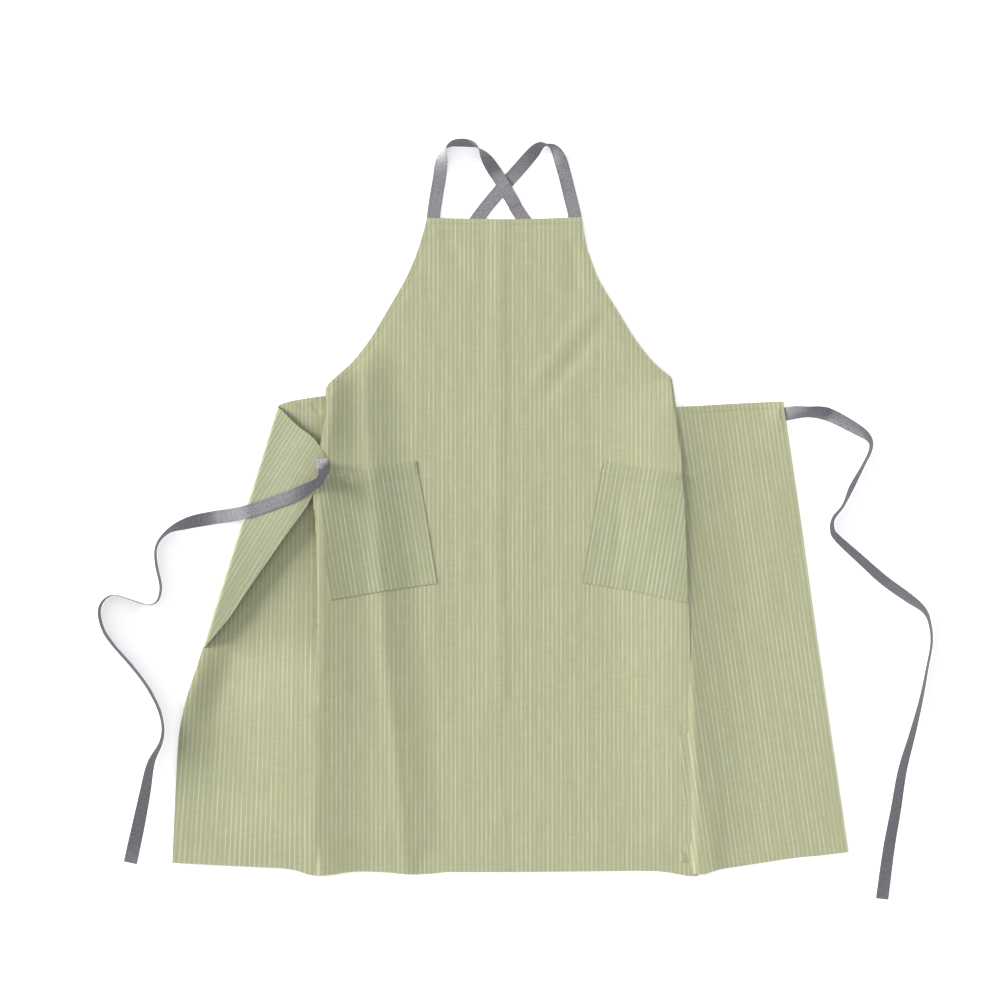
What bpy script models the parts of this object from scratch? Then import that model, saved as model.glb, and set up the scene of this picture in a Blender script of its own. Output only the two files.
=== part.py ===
"""A cross-back apron laid flat on a surface, front side up, with its bib towards +Y.

Its cloth pieces are thin plates in layers on the surface z = 0. Three pieces turn: the crossed shoulder
straps lift about the top of the bib, the turned-back corner of the left side panel opens about its fold,
and the right side panel turns over the front about the fold at the front's side. Metres, +Z up.
"""

import math

import bpy
from mathutils import Vector

# Cloth and layers
CLOTH = 0.0010          # thickness of one ply of cloth
GAP = 0.0003            # clearance between two plies that touch
LAYER = CLOTH + GAP     # height of one layer
STRAP_WIDTH = 0.020
TIE_CLOTH = 0.0008      # thickness of the waist ties
RIBBON_STEP = 0.012     # spacing of the sections along straps and ties

# Layers, counted up from the surface
ON_SURFACE = 0          # side panels, lower plies of the pleats and the straps behind the bib
FACINGS = 1
UNDER_FRONT = 2         # front ends of the straps and upper plies of the pleats
FRONT = 3
POCKETS = 4
CORNER = 5              # turned-back corner, which lies over the front and a pocket
ON_CORNER = 6
TOP = 7

# Straps: where they bend at the top of the bib
BIB_TOP_Y = 0.4360
STRAP_HINGE_Y = BIB_TOP_Y + 0.0025
STRAP_HINGE_Z = 0.0044
STRAP_END_Y = STRAP_HINGE_Y + 0.0015   # moving straps start here
STRAP_ROOT_Y = STRAP_HINGE_Y + 0.0008  # and their fixed ends stop here

# Fold lines of the moving cloth: two points each, both at the middle of the folded stack
FOLD_Z = 0.00375
CORNER_FOLD = (Vector((-0.349, 0.153)), Vector((-0.461, -0.210)))
SIDE_FOLD = (Vector((0.262, 0.153)), Vector((0.285, -0.552)))
FOLD_CLEARANCE = 0.0005

# Finish of each cloth: colour and roughness
SAGE = ((0.49, 0.50, 0.31), 0.85)
POCKET_SAGE = ((0.45, 0.48, 0.29), 0.85)
CHAMBRAY = ((0.29, 0.28, 0.31), 0.85)
THREAD = ((0.55, 0.55, 0.40), 0.70)


# Shapes

def clear_scene():
    for obj in list(bpy.data.objects):
        bpy.data.objects.remove(obj, do_unlink=True)


def add_object(name, points, faces, finish):
    colour, roughness = finish
    mesh = bpy.data.meshes.new(name)
    mesh.from_pydata([tuple(point) for point in points], [], faces)
    material = bpy.data.materials.new(name)
    material.use_nodes = True
    shader = material.node_tree.nodes["Principled BSDF"]
    shader.inputs["Base Color"].default_value = (*colour, 1.0)
    shader.inputs["Roughness"].default_value = roughness
    shader.inputs["Metallic"].default_value = 0.0
    mesh.materials.append(material)
    obj = bpy.data.objects.new(name, mesh)
    bpy.context.scene.collection.objects.link(obj)
    return obj


def smooth(points, step):
    """Points about step apart on a Catmull-Rom curve through points, which may have any number of values."""
    rows = [Vector(point) for point in points]
    rows = [2 * rows[0] - rows[1], *rows, 2 * rows[-1] - rows[-2]]
    curve = []
    for before, start, end, after in zip(rows, rows[1:], rows[2:], rows[3:]):
        count = max(1, round((end - start).to_2d().length / step))
        leave = (end - before) * 0.5
        arrive = (after - start) * 0.5
        for index in range(count):
            t = index / count
            curve.append(
                (2 * t**3 - 3 * t**2 + 1) * start
                + (t**3 - 2 * t**2 + t) * leave
                + (3 * t**2 - 2 * t**3) * end
                + (t**3 - t**2) * arrive
            )
    curve.append(rows[-2])
    return curve


def signed_area(outline):
    following = outline[1:] + outline[:1]
    return 0.5 * sum(a[0] * b[1] - b[0] * a[1] for a, b in zip(outline, following))


def plate(name, outline, layer, finish, thickness=CLOTH):
    """One flat ply of cloth with this outline, lying on the given layer."""
    outline = [(point[0], point[1]) for point in outline]
    if signed_area(outline) < 0:
        outline.reverse()
    low = layer * LAYER
    count = len(outline)
    points = [(x, y, low) for x, y in outline] + [(x, y, low + thickness) for x, y in outline]
    faces = [tuple(reversed(range(count))), tuple(range(count, 2 * count))]
    for index in range(count):
        after = (index + 1) % count
        faces.append((index, after, after + count, index + count))
    return add_object(name, points, faces, finish)


def ribbon(name, route, finish, thickness=CLOTH, start_along=None, end_along=None):
    """A strap or tie that follows route. Each point is x, y, the height of its lowest edge, and its tilt
    in degrees: 0 lies flat and 90 stands on edge. start_along and end_along turn an end's cut."""
    stations = smooth(route, RIBBON_STEP)
    last = len(stations) - 1
    points = []
    for index, (x, y, low, tilt) in enumerate(stations):
        along = (stations[min(index + 1, last)] - stations[max(index - 1, 0)]).to_2d().normalized()
        if index == 0 and start_along:
            along = Vector(start_along).normalized()
        if index == last and end_along:
            along = Vector(end_along).normalized()
        sideways = Vector((-along.y, along.x, 0))
        angle = math.radians(tilt)
        across = sideways * math.cos(angle) + Vector((0, 0, math.sin(angle)))
        through = Vector((0, 0, math.cos(angle))) - sideways * math.sin(angle)
        lift = STRAP_WIDTH / 2 * abs(math.sin(angle)) + thickness / 2 * abs(math.cos(angle))
        centre = Vector((x, y, max(low, 0.0) + lift))
        for side, face in ((-1, -1), (1, -1), (1, 1), (-1, 1)):
            points.append(centre + across * (side * STRAP_WIDTH / 2) + through * (face * thickness / 2))
    faces = [(3, 2, 1, 0), tuple(4 * last + corner for corner in range(4))]
    for near in range(0, 4 * last, 4):
        far = near + 4
        # The two broad sides share one diagonal, so a twist can't push one through the other.
        faces += [(near, near + 1, far + 1), (near, far + 1, far)]
        faces += [(near + 2, near + 3, far + 2), (near + 3, far + 3, far + 2)]
        faces += [(near + 1, near + 2, far + 2, far + 1), (near + 3, near, far, far + 3)]
    return add_object(name, points, faces, finish)


def pleat(name, top_y, bottom_y, upper_x, lower_x, inner_x, finish):
    """Cloth that turns under the front's side and comes out again: two plies joined by an inner fold.
    Each x is a pair, at the top and at the bottom."""
    under = UNDER_FRONT * LAYER
    middle = (under + CLOTH) / 2
    rings = []
    for y, upper, lower, inner in zip((top_y, bottom_y), upper_x, lower_x, inner_x):
        outward = math.copysign(1.0, upper - inner)
        ring = [(lower, 0.0), (lower, CLOTH)]
        for radius, turn in ((middle - CLOTH, 1), (middle, -1)):
            fold = []
            for step in range(5):
                angle = math.radians(-90 + 45 * step)
                fold.append(
                    (inner + outward * (middle - radius * math.cos(angle)), middle + radius * math.sin(angle))
                )
            if turn > 0:
                ring += [*fold, (upper, under), (upper, under + CLOTH)]
            else:
                ring += fold[::-1]
        rings.append([(x, y, z) for x, z in ring])
    count = len(rings[0])
    points = rings[0] + rings[1]
    faces = [tuple(range(count)), tuple(range(2 * count - 1, count - 1, -1))]
    for index in range(count):
        after = (index + 1) % count
        faces.append((index, index + count, after + count, after))
    if upper_x[0] > inner_x[0]:
        faces = [face[::-1] for face in faces]
    return add_object(name, points, faces, finish)


def tack(name, centre, along, length, layer):
    """A bar tack: a short bar of close stitches on the cloth of the layer below."""
    width = 0.0024
    run = Vector(along).normalized() * (length / 2)
    side = Vector((-run.y, run.x)).normalized() * (width / 2)
    middle = Vector(centre)
    outline = [middle - run - side, middle + run - side, middle + run + side, middle - run + side]
    return plate(name, outline, layer, THREAD, thickness=0.0006)


def pivot(name, place, children):
    """An empty on a joint's axis, which its moving pieces hang from."""
    empty = bpy.data.objects.new(name, None)
    empty.location = place
    bpy.context.scene.collection.objects.link(empty)
    bpy.context.view_layer.update()
    for child in children:
        child.parent = empty
        child.matrix_parent_inverse = empty.matrix_world.inverted()


def beside(fold, side):
    """The two ends of a fold line, moved clear of it to its left (-1) or right (+1)."""
    start, end = fold
    across = Vector((start.y - end.y, end.x - start.x)).normalized()
    return [point + across * (side * FOLD_CLEARANCE) for point in fold]


# Front and bib

LEFT_ARMHOLE = [(-0.125, 0.435), (-0.131, 0.412), (-0.142, 0.378), (-0.158, 0.342), (-0.184, 0.297),
                (-0.211, 0.252), (-0.236, 0.220), (-0.256, 0.201), (-0.272, 0.186)]
RIGHT_ARMHOLE = [(0.107, 0.436), (0.116, 0.386), (0.133, 0.342), (0.160, 0.297), (0.188, 0.252),
                 (0.215, 0.218), (0.241, 0.196)]
LEFT_FOLD_EDGE = [(-0.277, 0.177), (-0.278, 0.138), (-0.284, 0.102), (-0.296, 0.021), (-0.292, -0.076),
                  (-0.289, -0.198), (-0.289, -0.318), (-0.293, -0.450), (-0.295, -0.549)]
RIGHT_FOLD_EDGE = [(0.242, 0.192), (0.248, 0.152), (0.255, 0.098), (0.260, 0.051), (0.269, -0.138),
                   (0.280, -0.408), (0.281, -0.552)]
CENTRE_SEAM = [(-0.013, 0.433), (-0.016, 0.012), (-0.012, -0.303)]
CENTRE_SLIT = [(-0.008, -0.428), (0.001, -0.510), (0.002, -0.546)]
LEFT_HEM = [(-0.272, -0.550), (-0.233, -0.545), (-0.158, -0.549), (-0.098, -0.546)]
RIGHT_HEM = [(0.194, -0.544), (0.247, -0.548)]
SEAM_GAP = 0.0005
OUTLINE_STEP = 0.030


def front_panels():
    seam = [Vector(point) for point in CENTRE_SEAM + CENTRE_SLIT]
    half_gap = Vector((SEAM_GAP / 2, 0))
    left = smooth(LEFT_ARMHOLE, OUTLINE_STEP) + smooth(LEFT_FOLD_EDGE, OUTLINE_STEP) + LEFT_HEM
    plate("front_panel_left", left + [point - half_gap for point in reversed(seam)], FRONT, SAGE)
    right = smooth(RIGHT_ARMHOLE, OUTLINE_STEP) + smooth(RIGHT_FOLD_EDGE, OUTLINE_STEP)
    right += reversed(RIGHT_HEM)
    plate("front_panel_right", right + [point + half_gap for point in reversed(seam)], FRONT, SAGE)
    tack("slit_tack", CENTRE_SEAM[-1], (1, 0), 0.010, POCKETS)


def band(edge, depth, side):
    """An outline that follows a smooth edge and has the given depth to one side of it."""
    line = smooth(edge, OUTLINE_STEP)
    last = len(line) - 1
    inner = []
    for index, point in enumerate(line):
        along = (line[min(index + 1, last)] - line[max(index - 1, 0)]).normalized()
        inner.append(point + Vector((-along.y, along.x)) * (side * depth))
    return line + inner[::-1]


def facings():
    """The strips that line the top of the bib and the two armholes, on the wrong side."""
    top, bottom = 0.4325, 0.3930
    plate("bib_facing", [(-0.1245, top), (0.1065, top), (0.1140, bottom), (-0.1360, bottom)], FACINGS, SAGE)
    depth = 0.018
    plate("armhole_facing_left", band(LEFT_ARMHOLE[2:-1], depth, 1), FACINGS, SAGE)
    plate("armhole_facing_right", band(RIGHT_ARMHOLE[1:], depth, -1), FACINGS, SAGE)


# Pockets

LEFT_POCKET = [(-0.290, 0.048), (-0.202, 0.060), (-0.142, 0.071), (-0.127, -0.008), (-0.110, -0.113),
               (-0.188, -0.124), (-0.260, -0.136), (-0.289, -0.140)]
RIGHT_POCKET = [(0.137, 0.070), (0.257, 0.052), (0.262, 0.006), (0.267, -0.144), (0.181, -0.124),
                (0.106, -0.112), (0.127, 0.006)]
TACK_LENGTH = 0.009
TACK_INSET = 0.006


def pockets():
    plate("pocket_left", LEFT_POCKET, POCKETS, POCKET_SAGE)
    plate("pocket_right", RIGHT_POCKET, POCKETS, POCKET_SAGE)
    mouths = {
        "pocket_left": ((-0.272, 0.050), (-0.142, 0.071), (0.015, -0.079)),
        "pocket_right": ((0.257, 0.052), (0.137, 0.070), (-0.010, -0.064)),
    }
    for name, (outer, inner, down) in mouths.items():
        outer, inner, down = Vector(outer), Vector(inner), Vector(down).normalized()
        mouth = (inner - outer).normalized()
        low = down * (TACK_INSET + TACK_LENGTH / 2)
        # The turned-back corner covers the left pocket's outer corner, so this tack lies beyond it.
        outer_inset = 0.026 if name == "pocket_left" else TACK_INSET
        tack(name + "_tack_outer", outer + mouth * outer_inset + low, down, TACK_LENGTH, CORNER)
        tack(name + "_tack_inner", inner - mouth * TACK_INSET + low, down, TACK_LENGTH, CORNER)


# Side panels

LEFT_SIDE_TOP = [(-0.2813, 0.168), (-0.309, 0.164), (-0.334, 0.158)]
LEFT_SIDE_BACK = [(-0.470, -0.246), (-0.482, -0.276), (-0.494, -0.326), (-0.499, -0.374),
                  (-0.505, -0.492), (-0.507, -0.532)]
LEFT_SIDE_HEM = [(-0.382, -0.538), (-0.325, -0.542), (-0.2955, -0.549), (-0.2883, -0.547)]
LEFT_PLEAT_Y = (0.162, -0.318)
LEFT_PLEAT_FRONT_X = (-0.281, -0.288)
LEFT_PLEAT_INNER_X = (-0.233, -0.275)
CORNER_TOP = [(-0.317, 0.122), (-0.296, 0.106), (-0.284, 0.091), (-0.274, 0.073), (-0.2715, 0.060)]
CORNER_BACK = [(-0.274, 0.045), (-0.295, 0.021), (-0.304, 0.003), (-0.343, -0.051), (-0.395, -0.126),
               (-0.421, -0.165)]

RIGHT_SIDE_TOP_X = (0.409, 0.160)
RIGHT_SIDE_BACK = [(0.455, -0.159), (0.507, -0.516)]
RIGHT_SIDE_HEM = [(0.425, -0.525), (0.352, -0.536), (0.312, -0.542)]
RIGHT_PLEAT_Y = (0.1510, -0.5350)
RIGHT_PLEAT_UPPER_X = (0.246, 0.277)
RIGHT_PLEAT_INNER_X = (0.197, 0.262)


def left_side():
    fold = beside(CORNER_FOLD, 0)
    pleat("side_pleat_left", *LEFT_PLEAT_Y, LEFT_PLEAT_FRONT_X, LEFT_PLEAT_FRONT_X, LEFT_PLEAT_INNER_X, SAGE)
    outline = [*LEFT_SIDE_TOP, *fold, *LEFT_SIDE_BACK, *LEFT_SIDE_HEM, (-0.2883, LEFT_PLEAT_Y[1])]
    plate("side_panel_left", outline, ON_SURFACE, SAGE)
    edge = beside(CORNER_FOLD, 1)
    corner = plate("side_corner_left", [edge[0], *CORNER_TOP, *CORNER_BACK, edge[1]], CORNER, SAGE)
    return corner


def right_side():
    start, end = beside(SIDE_FOLD, -1)
    slope = (end.x - start.x) / (end.y - start.y)
    hidden = tuple(start.x + slope * (y - start.y) for y in RIGHT_PLEAT_Y)
    pleat("side_pleat_right", *RIGHT_PLEAT_Y, RIGHT_PLEAT_UPPER_X, hidden, RIGHT_PLEAT_INNER_X, SAGE)
    edge = beside(SIDE_FOLD, 1)
    edge[1] = edge[0].lerp(edge[1], (edge[0].y + 0.5450) / (edge[0].y - edge[1].y))
    panel = plate("side_panel_right", [edge[0], RIGHT_SIDE_TOP_X, *RIGHT_SIDE_BACK, *RIGHT_SIDE_HEM, edge[1]],
                  ON_SURFACE, SAGE)
    return panel


# Shoulder straps: x, y, height of the lowest edge, tilt

STRAP_ROOT_Z = UNDER_FRONT * LAYER
OVER_STRAP = 1.5 * LAYER    # the left strap passes over the right one
IN_PLEAT = FACINGS * LAYER
LEFT_STRAP = [
    (-0.1150, STRAP_END_Y, STRAP_ROOT_Z, 0), (-0.1115, 0.465, 0.0008, 0), (-0.107, 0.495, 0, 0),
    (-0.104, 0.518, 0, 30), (-0.099, 0.537, 0, 88), (-0.088, 0.545, 0, 112), (-0.074, 0.5467, 0, 119),
    (-0.061, 0.5455, 0, 112), (-0.049, 0.541, 0, 88), (-0.037, 0.525, 0, 50), (-0.026, 0.510, 0, 20),
    (-0.0155, 0.494, 0.0014, 0), (-0.005, 0.476, OVER_STRAP, 0), (0.006, 0.457, 0.0014, 0),
    (0.0160, STRAP_END_Y, 0, 0),
]
RIGHT_STRAP = [
    (0.096, STRAP_END_Y, STRAP_ROOT_Z, 0), (0.090, 0.465, 0.0008, 0), (0.080, 0.505, 0, 0),
    (0.072, 0.530, 0, -35), (0.063, 0.540, 0, -70), (0.053, 0.544, 0, -90), (0.044, 0.541, 0, -60),
    (0.032, 0.530, 0, -25), (0.010, 0.504, 0, 0), (-0.004, 0.488, 0, 0), (-0.024, 0.464, 0, 0),
    (-0.0425, STRAP_END_Y, 0, 0),
]
LEFT_STRAP_BEHIND = [
    (0.0165, STRAP_ROOT_Y, 0, 0), (0.075, 0.355, 0, 0), (0.150, 0.245, 0, 0), (0.202, 0.171, 0, 0),
    (0.210, 0.156, IN_PLEAT, 0), (0.2135, 0.136, IN_PLEAT, 0),
]
RIGHT_STRAP_BEHIND = [
    (-0.0435, STRAP_ROOT_Y, 0, 0), (-0.110, 0.350, 0, 0), (-0.195, 0.240, 0, 0), (-0.246, 0.181, 0, 0),
    (-0.254, 0.166, IN_PLEAT, 0), (-0.257, 0.147, IN_PLEAT, 0),
]
STRAP_ROOT_LENGTH = 0.030


def shoulder_straps():
    up, down = (0, 1), (0, -1)
    left = ribbon("shoulder_strap_left", LEFT_STRAP, CHAMBRAY, start_along=up, end_along=down)
    right = ribbon("shoulder_strap_right", RIGHT_STRAP, CHAMBRAY, start_along=up, end_along=down)
    ribbon("strap_behind_bib_left", LEFT_STRAP_BEHIND, CHAMBRAY, start_along=down)
    ribbon("strap_behind_bib_right", RIGHT_STRAP_BEHIND, CHAMBRAY, start_along=down)
    for name, x in (("strap_root_left", LEFT_STRAP[0][0]), ("strap_root_right", RIGHT_STRAP[0][0])):
        low, high, half = BIB_TOP_Y - STRAP_ROOT_LENGTH, STRAP_ROOT_Y, STRAP_WIDTH / 2
        plate(name, [(x - half, low), (x + half, low), (x + half, high), (x - half, high)],
              UNDER_FRONT, CHAMBRAY)
        tack(name + "_tack", (x, BIB_TOP_Y - 0.010), (1, 0), 0.016, POCKETS)
    return [left, right]


# Waist ties: x, y, height of the lowest edge, tilt

LEFT_TIE_ROOT = [
    (-0.2820, 0.0760, ON_CORNER * LAYER, 0), (-0.2765, 0.0600, ON_CORNER * LAYER, 0),
    (-0.2790, 0.0440, ON_CORNER * LAYER, 0), (-0.2980, 0.0265, ON_CORNER * LAYER, 0),
    (-0.3370, 0.0120, ON_CORNER * LAYER, 0), (-0.3700, 0.0000, ON_CORNER * LAYER, 0),
    (-0.3925, -0.0060, ON_CORNER * LAYER, 0),
]
LEFT_TIE = [
    (-0.418, -0.0105, 0, 0), (-0.448, -0.015, 0, 0), (-0.481, -0.022, 0, 30), (-0.512, -0.035, 0, 75),
    (-0.529, -0.056, 0, 90), (-0.530, -0.082, 0, 90), (-0.523, -0.118, 0, 90), (-0.529, -0.140, 0, 90),
    (-0.545, -0.144, 0, 90), (-0.571, -0.136, 0, 90), (-0.594, -0.130, 0, 90), (-0.610, -0.140, 0, 90),
    (-0.615, -0.158, 0, 90), (-0.608, -0.184, 0, 90), (-0.593, -0.206, 0, 90), (-0.566, -0.237, 0, 90),
    (-0.544, -0.266, 0, 90), (-0.527, -0.298, 0, 90), (-0.520, -0.326, 0, 90), (-0.523, -0.351, 0, 85),
    (-0.538, -0.382, 0, 50), (-0.547, -0.426, 0, 20), (-0.557, -0.474, 0, 0), (-0.570, -0.532, 0, 0),
]
RIGHT_TIE = [
    (0.4121, 0.1410, 0, 0), (0.446, 0.144, 0, 0), (0.482, 0.138, 0, 0), (0.520, 0.117, 0, 25),
    (0.537, 0.103, 0, 80), (0.539, 0.088, 0, 90), (0.528, 0.064, 0, 90), (0.511, 0.032, 0, 65),
    (0.498, 0.004, 0, 88), (0.483, -0.016, 0, 80), (0.482, -0.034, 0, 45), (0.491, -0.047, 0, 12),
    (0.523, -0.076, 0, 0), (0.559, -0.108, 0, 0), (0.595, -0.134, 0, 15), (0.618, -0.152, 0, 75),
    (0.627, -0.171, 0, 90), (0.630, -0.201, 0, 90), (0.623, -0.242, 0, 80), (0.614, -0.288, 0, 30),
    (0.601, -0.340, 0, 5), (0.587, -0.392, 0, 0), (0.577, -0.453, 0, 0), (0.567, -0.510, 0, 0),
    (0.557, -0.586, 0, 0),
]


def waist_ties():
    across_fold = Vector((CORNER_FOLD[1].y - CORNER_FOLD[0].y, CORNER_FOLD[0].x - CORNER_FOLD[1].x))
    root = ribbon("waist_tie_left_root", LEFT_TIE_ROOT, CHAMBRAY, TIE_CLOTH, end_along=across_fold)
    ribbon("waist_tie_left", LEFT_TIE, CHAMBRAY, TIE_CLOTH, start_along=across_fold)
    off_panel = (0.319, 0.046)
    right = ribbon("waist_tie_right", RIGHT_TIE, CHAMBRAY, TIE_CLOTH, start_along=off_panel)
    return root, right


def main():
    clear_scene()
    front_panels()
    facings()
    pockets()
    corner = left_side()
    panel = right_side()
    straps = shoulder_straps()
    tie_root, tie_right = waist_ties()
    corner_tack = tack("waist_tie_left_tack", (-0.2800, 0.0700), (1, 0.25), 0.016, TOP)
    panel_tack = tack("waist_tie_right_tack", (0.4060, 0.1410), (0.12, -1), 0.018, FACINGS)
    pivot("straps_pivot", (0, STRAP_HINGE_Y, STRAP_HINGE_Z), straps)
    pivot("corner_pivot", (*CORNER_FOLD[0], FOLD_Z), [corner, tie_root, corner_tack])
    pivot("side_pivot", (*SIDE_FOLD[0], FOLD_Z), [panel, tie_right, panel_tack])


main()
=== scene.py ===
"""Looks of the cross-back apron that lies flat on a white surface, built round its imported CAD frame.

Every cloth piece is a triangulated sheet cut to an outline, raised by a height function and given a real
thickness. Straps and ties are tapes that follow the routes of their CAD solids. Metres, +Z up.
"""

import math

import bpy
import numpy as np
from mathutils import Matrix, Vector, geometry, noise


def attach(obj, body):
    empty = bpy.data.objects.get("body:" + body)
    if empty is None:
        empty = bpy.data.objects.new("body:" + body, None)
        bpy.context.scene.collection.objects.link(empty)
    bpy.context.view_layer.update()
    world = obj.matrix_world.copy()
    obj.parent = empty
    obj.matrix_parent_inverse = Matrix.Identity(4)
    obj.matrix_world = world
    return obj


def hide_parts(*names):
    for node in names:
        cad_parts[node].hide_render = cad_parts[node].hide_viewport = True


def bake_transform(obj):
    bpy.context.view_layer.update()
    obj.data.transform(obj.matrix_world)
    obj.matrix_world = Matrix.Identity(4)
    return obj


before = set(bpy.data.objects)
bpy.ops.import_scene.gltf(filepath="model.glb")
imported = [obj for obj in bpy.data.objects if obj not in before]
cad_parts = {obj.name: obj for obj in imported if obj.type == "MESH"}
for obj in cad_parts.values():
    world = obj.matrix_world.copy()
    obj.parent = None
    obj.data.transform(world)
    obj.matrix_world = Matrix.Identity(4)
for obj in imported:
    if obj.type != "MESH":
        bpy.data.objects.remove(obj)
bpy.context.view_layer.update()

# Sizes of the cloth
PLY = 0.0005            # thickness of one ply
HEM_EXTRA = 0.0006      # a hem's turned plies on top of that
HEM_DEPTH = 0.0130
BIB_HEM = 0.0075
EDGE_HEM = 0.010         # of a side panel's top and back edges
GRID = 0.0042           # spacing of the points inside a sheet
TAPE_WIDTH = 0.020
TAPE_PLY = 0.0009
TIE_PLY = 0.0008
TAPE_SEAM, SUNK = 0.0022, 0.00005   # a tape's stitches: how far inside its edge, and how far sunk in
STRIPE_PITCH = 0.0066
STRIPE_LINE = 0.0018
WEAVE_BUMP = 0.00012
BASE = 0.0034           # height of the front where it lies flat over its facings


# Camera, floor and light

CAMERA_HEIGHT = 3.5417
CAMERA_CENTRE = (-0.0156, 0.0120)


def make_camera():
    data = bpy.data.cameras.new("camera")
    data.lens = 85
    data.sensor_width = 36
    data.clip_end = 50
    camera = bpy.data.objects.new("camera", data)
    camera.location = (*CAMERA_CENTRE, CAMERA_HEIGHT)
    bpy.context.scene.collection.objects.link(camera)
    bpy.context.scene.camera = camera


def sun(name, azimuth, elevation, spread, strength, colour):
    """A soft distant light that comes from this azimuth, counter-clockwise from +X, and elevation."""
    data = bpy.data.lights.new(name, "SUN")
    data.angle = math.radians(spread)
    data.energy = strength
    data.color = colour
    lamp = bpy.data.objects.new(name, data)
    turn, rise = math.radians(azimuth), math.radians(elevation)
    toward = Vector((math.cos(turn) * math.cos(rise), math.sin(turn) * math.cos(rise), math.sin(rise)))
    lamp.rotation_mode = "QUATERNION"
    lamp.rotation_quaternion = toward.to_track_quat("Z", "Y")
    bpy.context.scene.collection.objects.link(lamp)


def make_studio():
    bpy.context.scene.view_settings.view_transform = "Standard"
    world = bpy.data.worlds.new("studio")
    world.use_nodes = True
    background = world.node_tree.nodes["Background"]
    background.inputs["Color"].default_value = (0.965, 0.985, 1.0, 1.0)
    background.inputs["Strength"].default_value = 0.80
    bpy.context.scene.world = world
    sun("window", 160, 12, 22, 10.2, (1.0, 0.985, 0.955))
    mesh = bpy.data.meshes.new("floor")
    mesh.from_pydata([(-30, -30, 0), (30, -30, 0), (30, 30, 0), (-30, 30, 0)], [], [(0, 1, 2, 3)])
    material = bpy.data.materials.new("white floor")
    material.use_nodes = True
    shader = material.node_tree.nodes["Principled BSDF"]
    shader.inputs["Base Color"].default_value = (0.93, 0.93, 0.94, 1)
    shader.inputs["Roughness"].default_value = 0.9
    shader.inputs["Emission Color"].default_value = (1, 1, 1, 1)
    shader.inputs["Emission Strength"].default_value = 0.34
    mesh.materials.append(material)
    floor = bpy.data.objects.new("floor", mesh)
    bpy.context.scene.collection.objects.link(floor)


# Materials

class Nodes:
    """A short way to build one material's node tree."""

    def __init__(self, name):
        self.material = bpy.data.materials.new(name)
        self.material.use_nodes = True
        self.tree = self.material.node_tree
        self.shader = self.tree.nodes["Principled BSDF"]

    def add(self, kind, inputs=None, **settings):
        node = self.tree.nodes.new(kind)
        for key, value in settings.items():
            setattr(node, key, value)
        for key, value in (inputs or {}).items():
            self.set(node.inputs[key], value)
        return node

    def set(self, socket, value):
        if isinstance(value, bpy.types.NodeSocket):
            self.tree.links.new(value, socket)
        else:
            socket.default_value = value

    def math(self, operation, *values):
        node = self.add("ShaderNodeMath", operation=operation)
        for socket, value in zip(node.inputs, values):
            self.set(socket, value)
        return node.outputs[0]

    def ramp(self, value, low, high, out_low=0.0, out_high=1.0):
        inputs = {"Value": value, "From Min": low, "From Max": high, "To Min": out_low, "To Max": out_high}
        return self.add("ShaderNodeMapRange", inputs, interpolation_type="SMOOTHSTEP").outputs[0]

    def noise(self, vector, scale, detail=2.0, rough=0.5):
        inputs = {"Vector": vector, "Scale": scale, "Detail": detail, "Roughness": rough}
        return self.add("ShaderNodeTexNoise", inputs).outputs["Fac"]

    def stretch(self, vector, factors):
        return self.add("ShaderNodeMapping", {"Vector": vector, "Scale": factors}).outputs[0]

    def mix(self, factor, first, second, blend="MIX"):
        node = self.add("ShaderNodeMix", data_type="RGBA", blend_type=blend)
        self.set(node.inputs["Factor"], factor)
        for socket, value in ((node.inputs[6], first), (node.inputs[7], second)):
            self.set(socket, (*value, 1) if isinstance(value, tuple) else value)
        return node.outputs[2]

    def grain(self):
        """The cloth's own coordinates in metres: x across the warp, y along it."""
        return self.add("ShaderNodeAttribute", attribute_name="grain").outputs["Vector"]


def weave(nodes, grain, thread):
    """The height of a plain weave whose threads are this wide, and how uneven its warp and its weft are."""
    parts = nodes.add("ShaderNodeSeparateXYZ", {"Vector": grain})
    across, along = parts.outputs[0], parts.outputs[1]
    waves = [nodes.math("SINE", nodes.math("MULTIPLY", axis, math.pi / thread)) for axis in (across, along)]
    over = nodes.math("MULTIPLY", *waves)
    slubs = nodes.noise(nodes.stretch(grain, (1.0, 0.02, 1.0)), 0.5 / thread)
    weft = nodes.noise(nodes.stretch(grain, (0.02, 1.0, 1.0)), 0.5 / thread)
    uneven = nodes.math("ADD", slubs, weft)
    return nodes.math("MULTIPLY_ADD", over, 0.25, nodes.math("MULTIPLY", uneven, 0.5)), slubs, weft


def finish_cloth(nodes, height, roughness, bump):
    shader = nodes.shader
    shader.inputs["Specular IOR Level"].default_value = 0.25
    shader.inputs["Sheen Weight"].default_value = 0.12
    shader.inputs["Sheen Roughness"].default_value = 0.5
    nodes.set(shader.inputs["Roughness"], roughness)
    made = nodes.add("ShaderNodeBump", {"Height": height, "Strength": 0.5, "Distance": bump})
    nodes.set(shader.inputs["Normal"], made.outputs[0])


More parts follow.
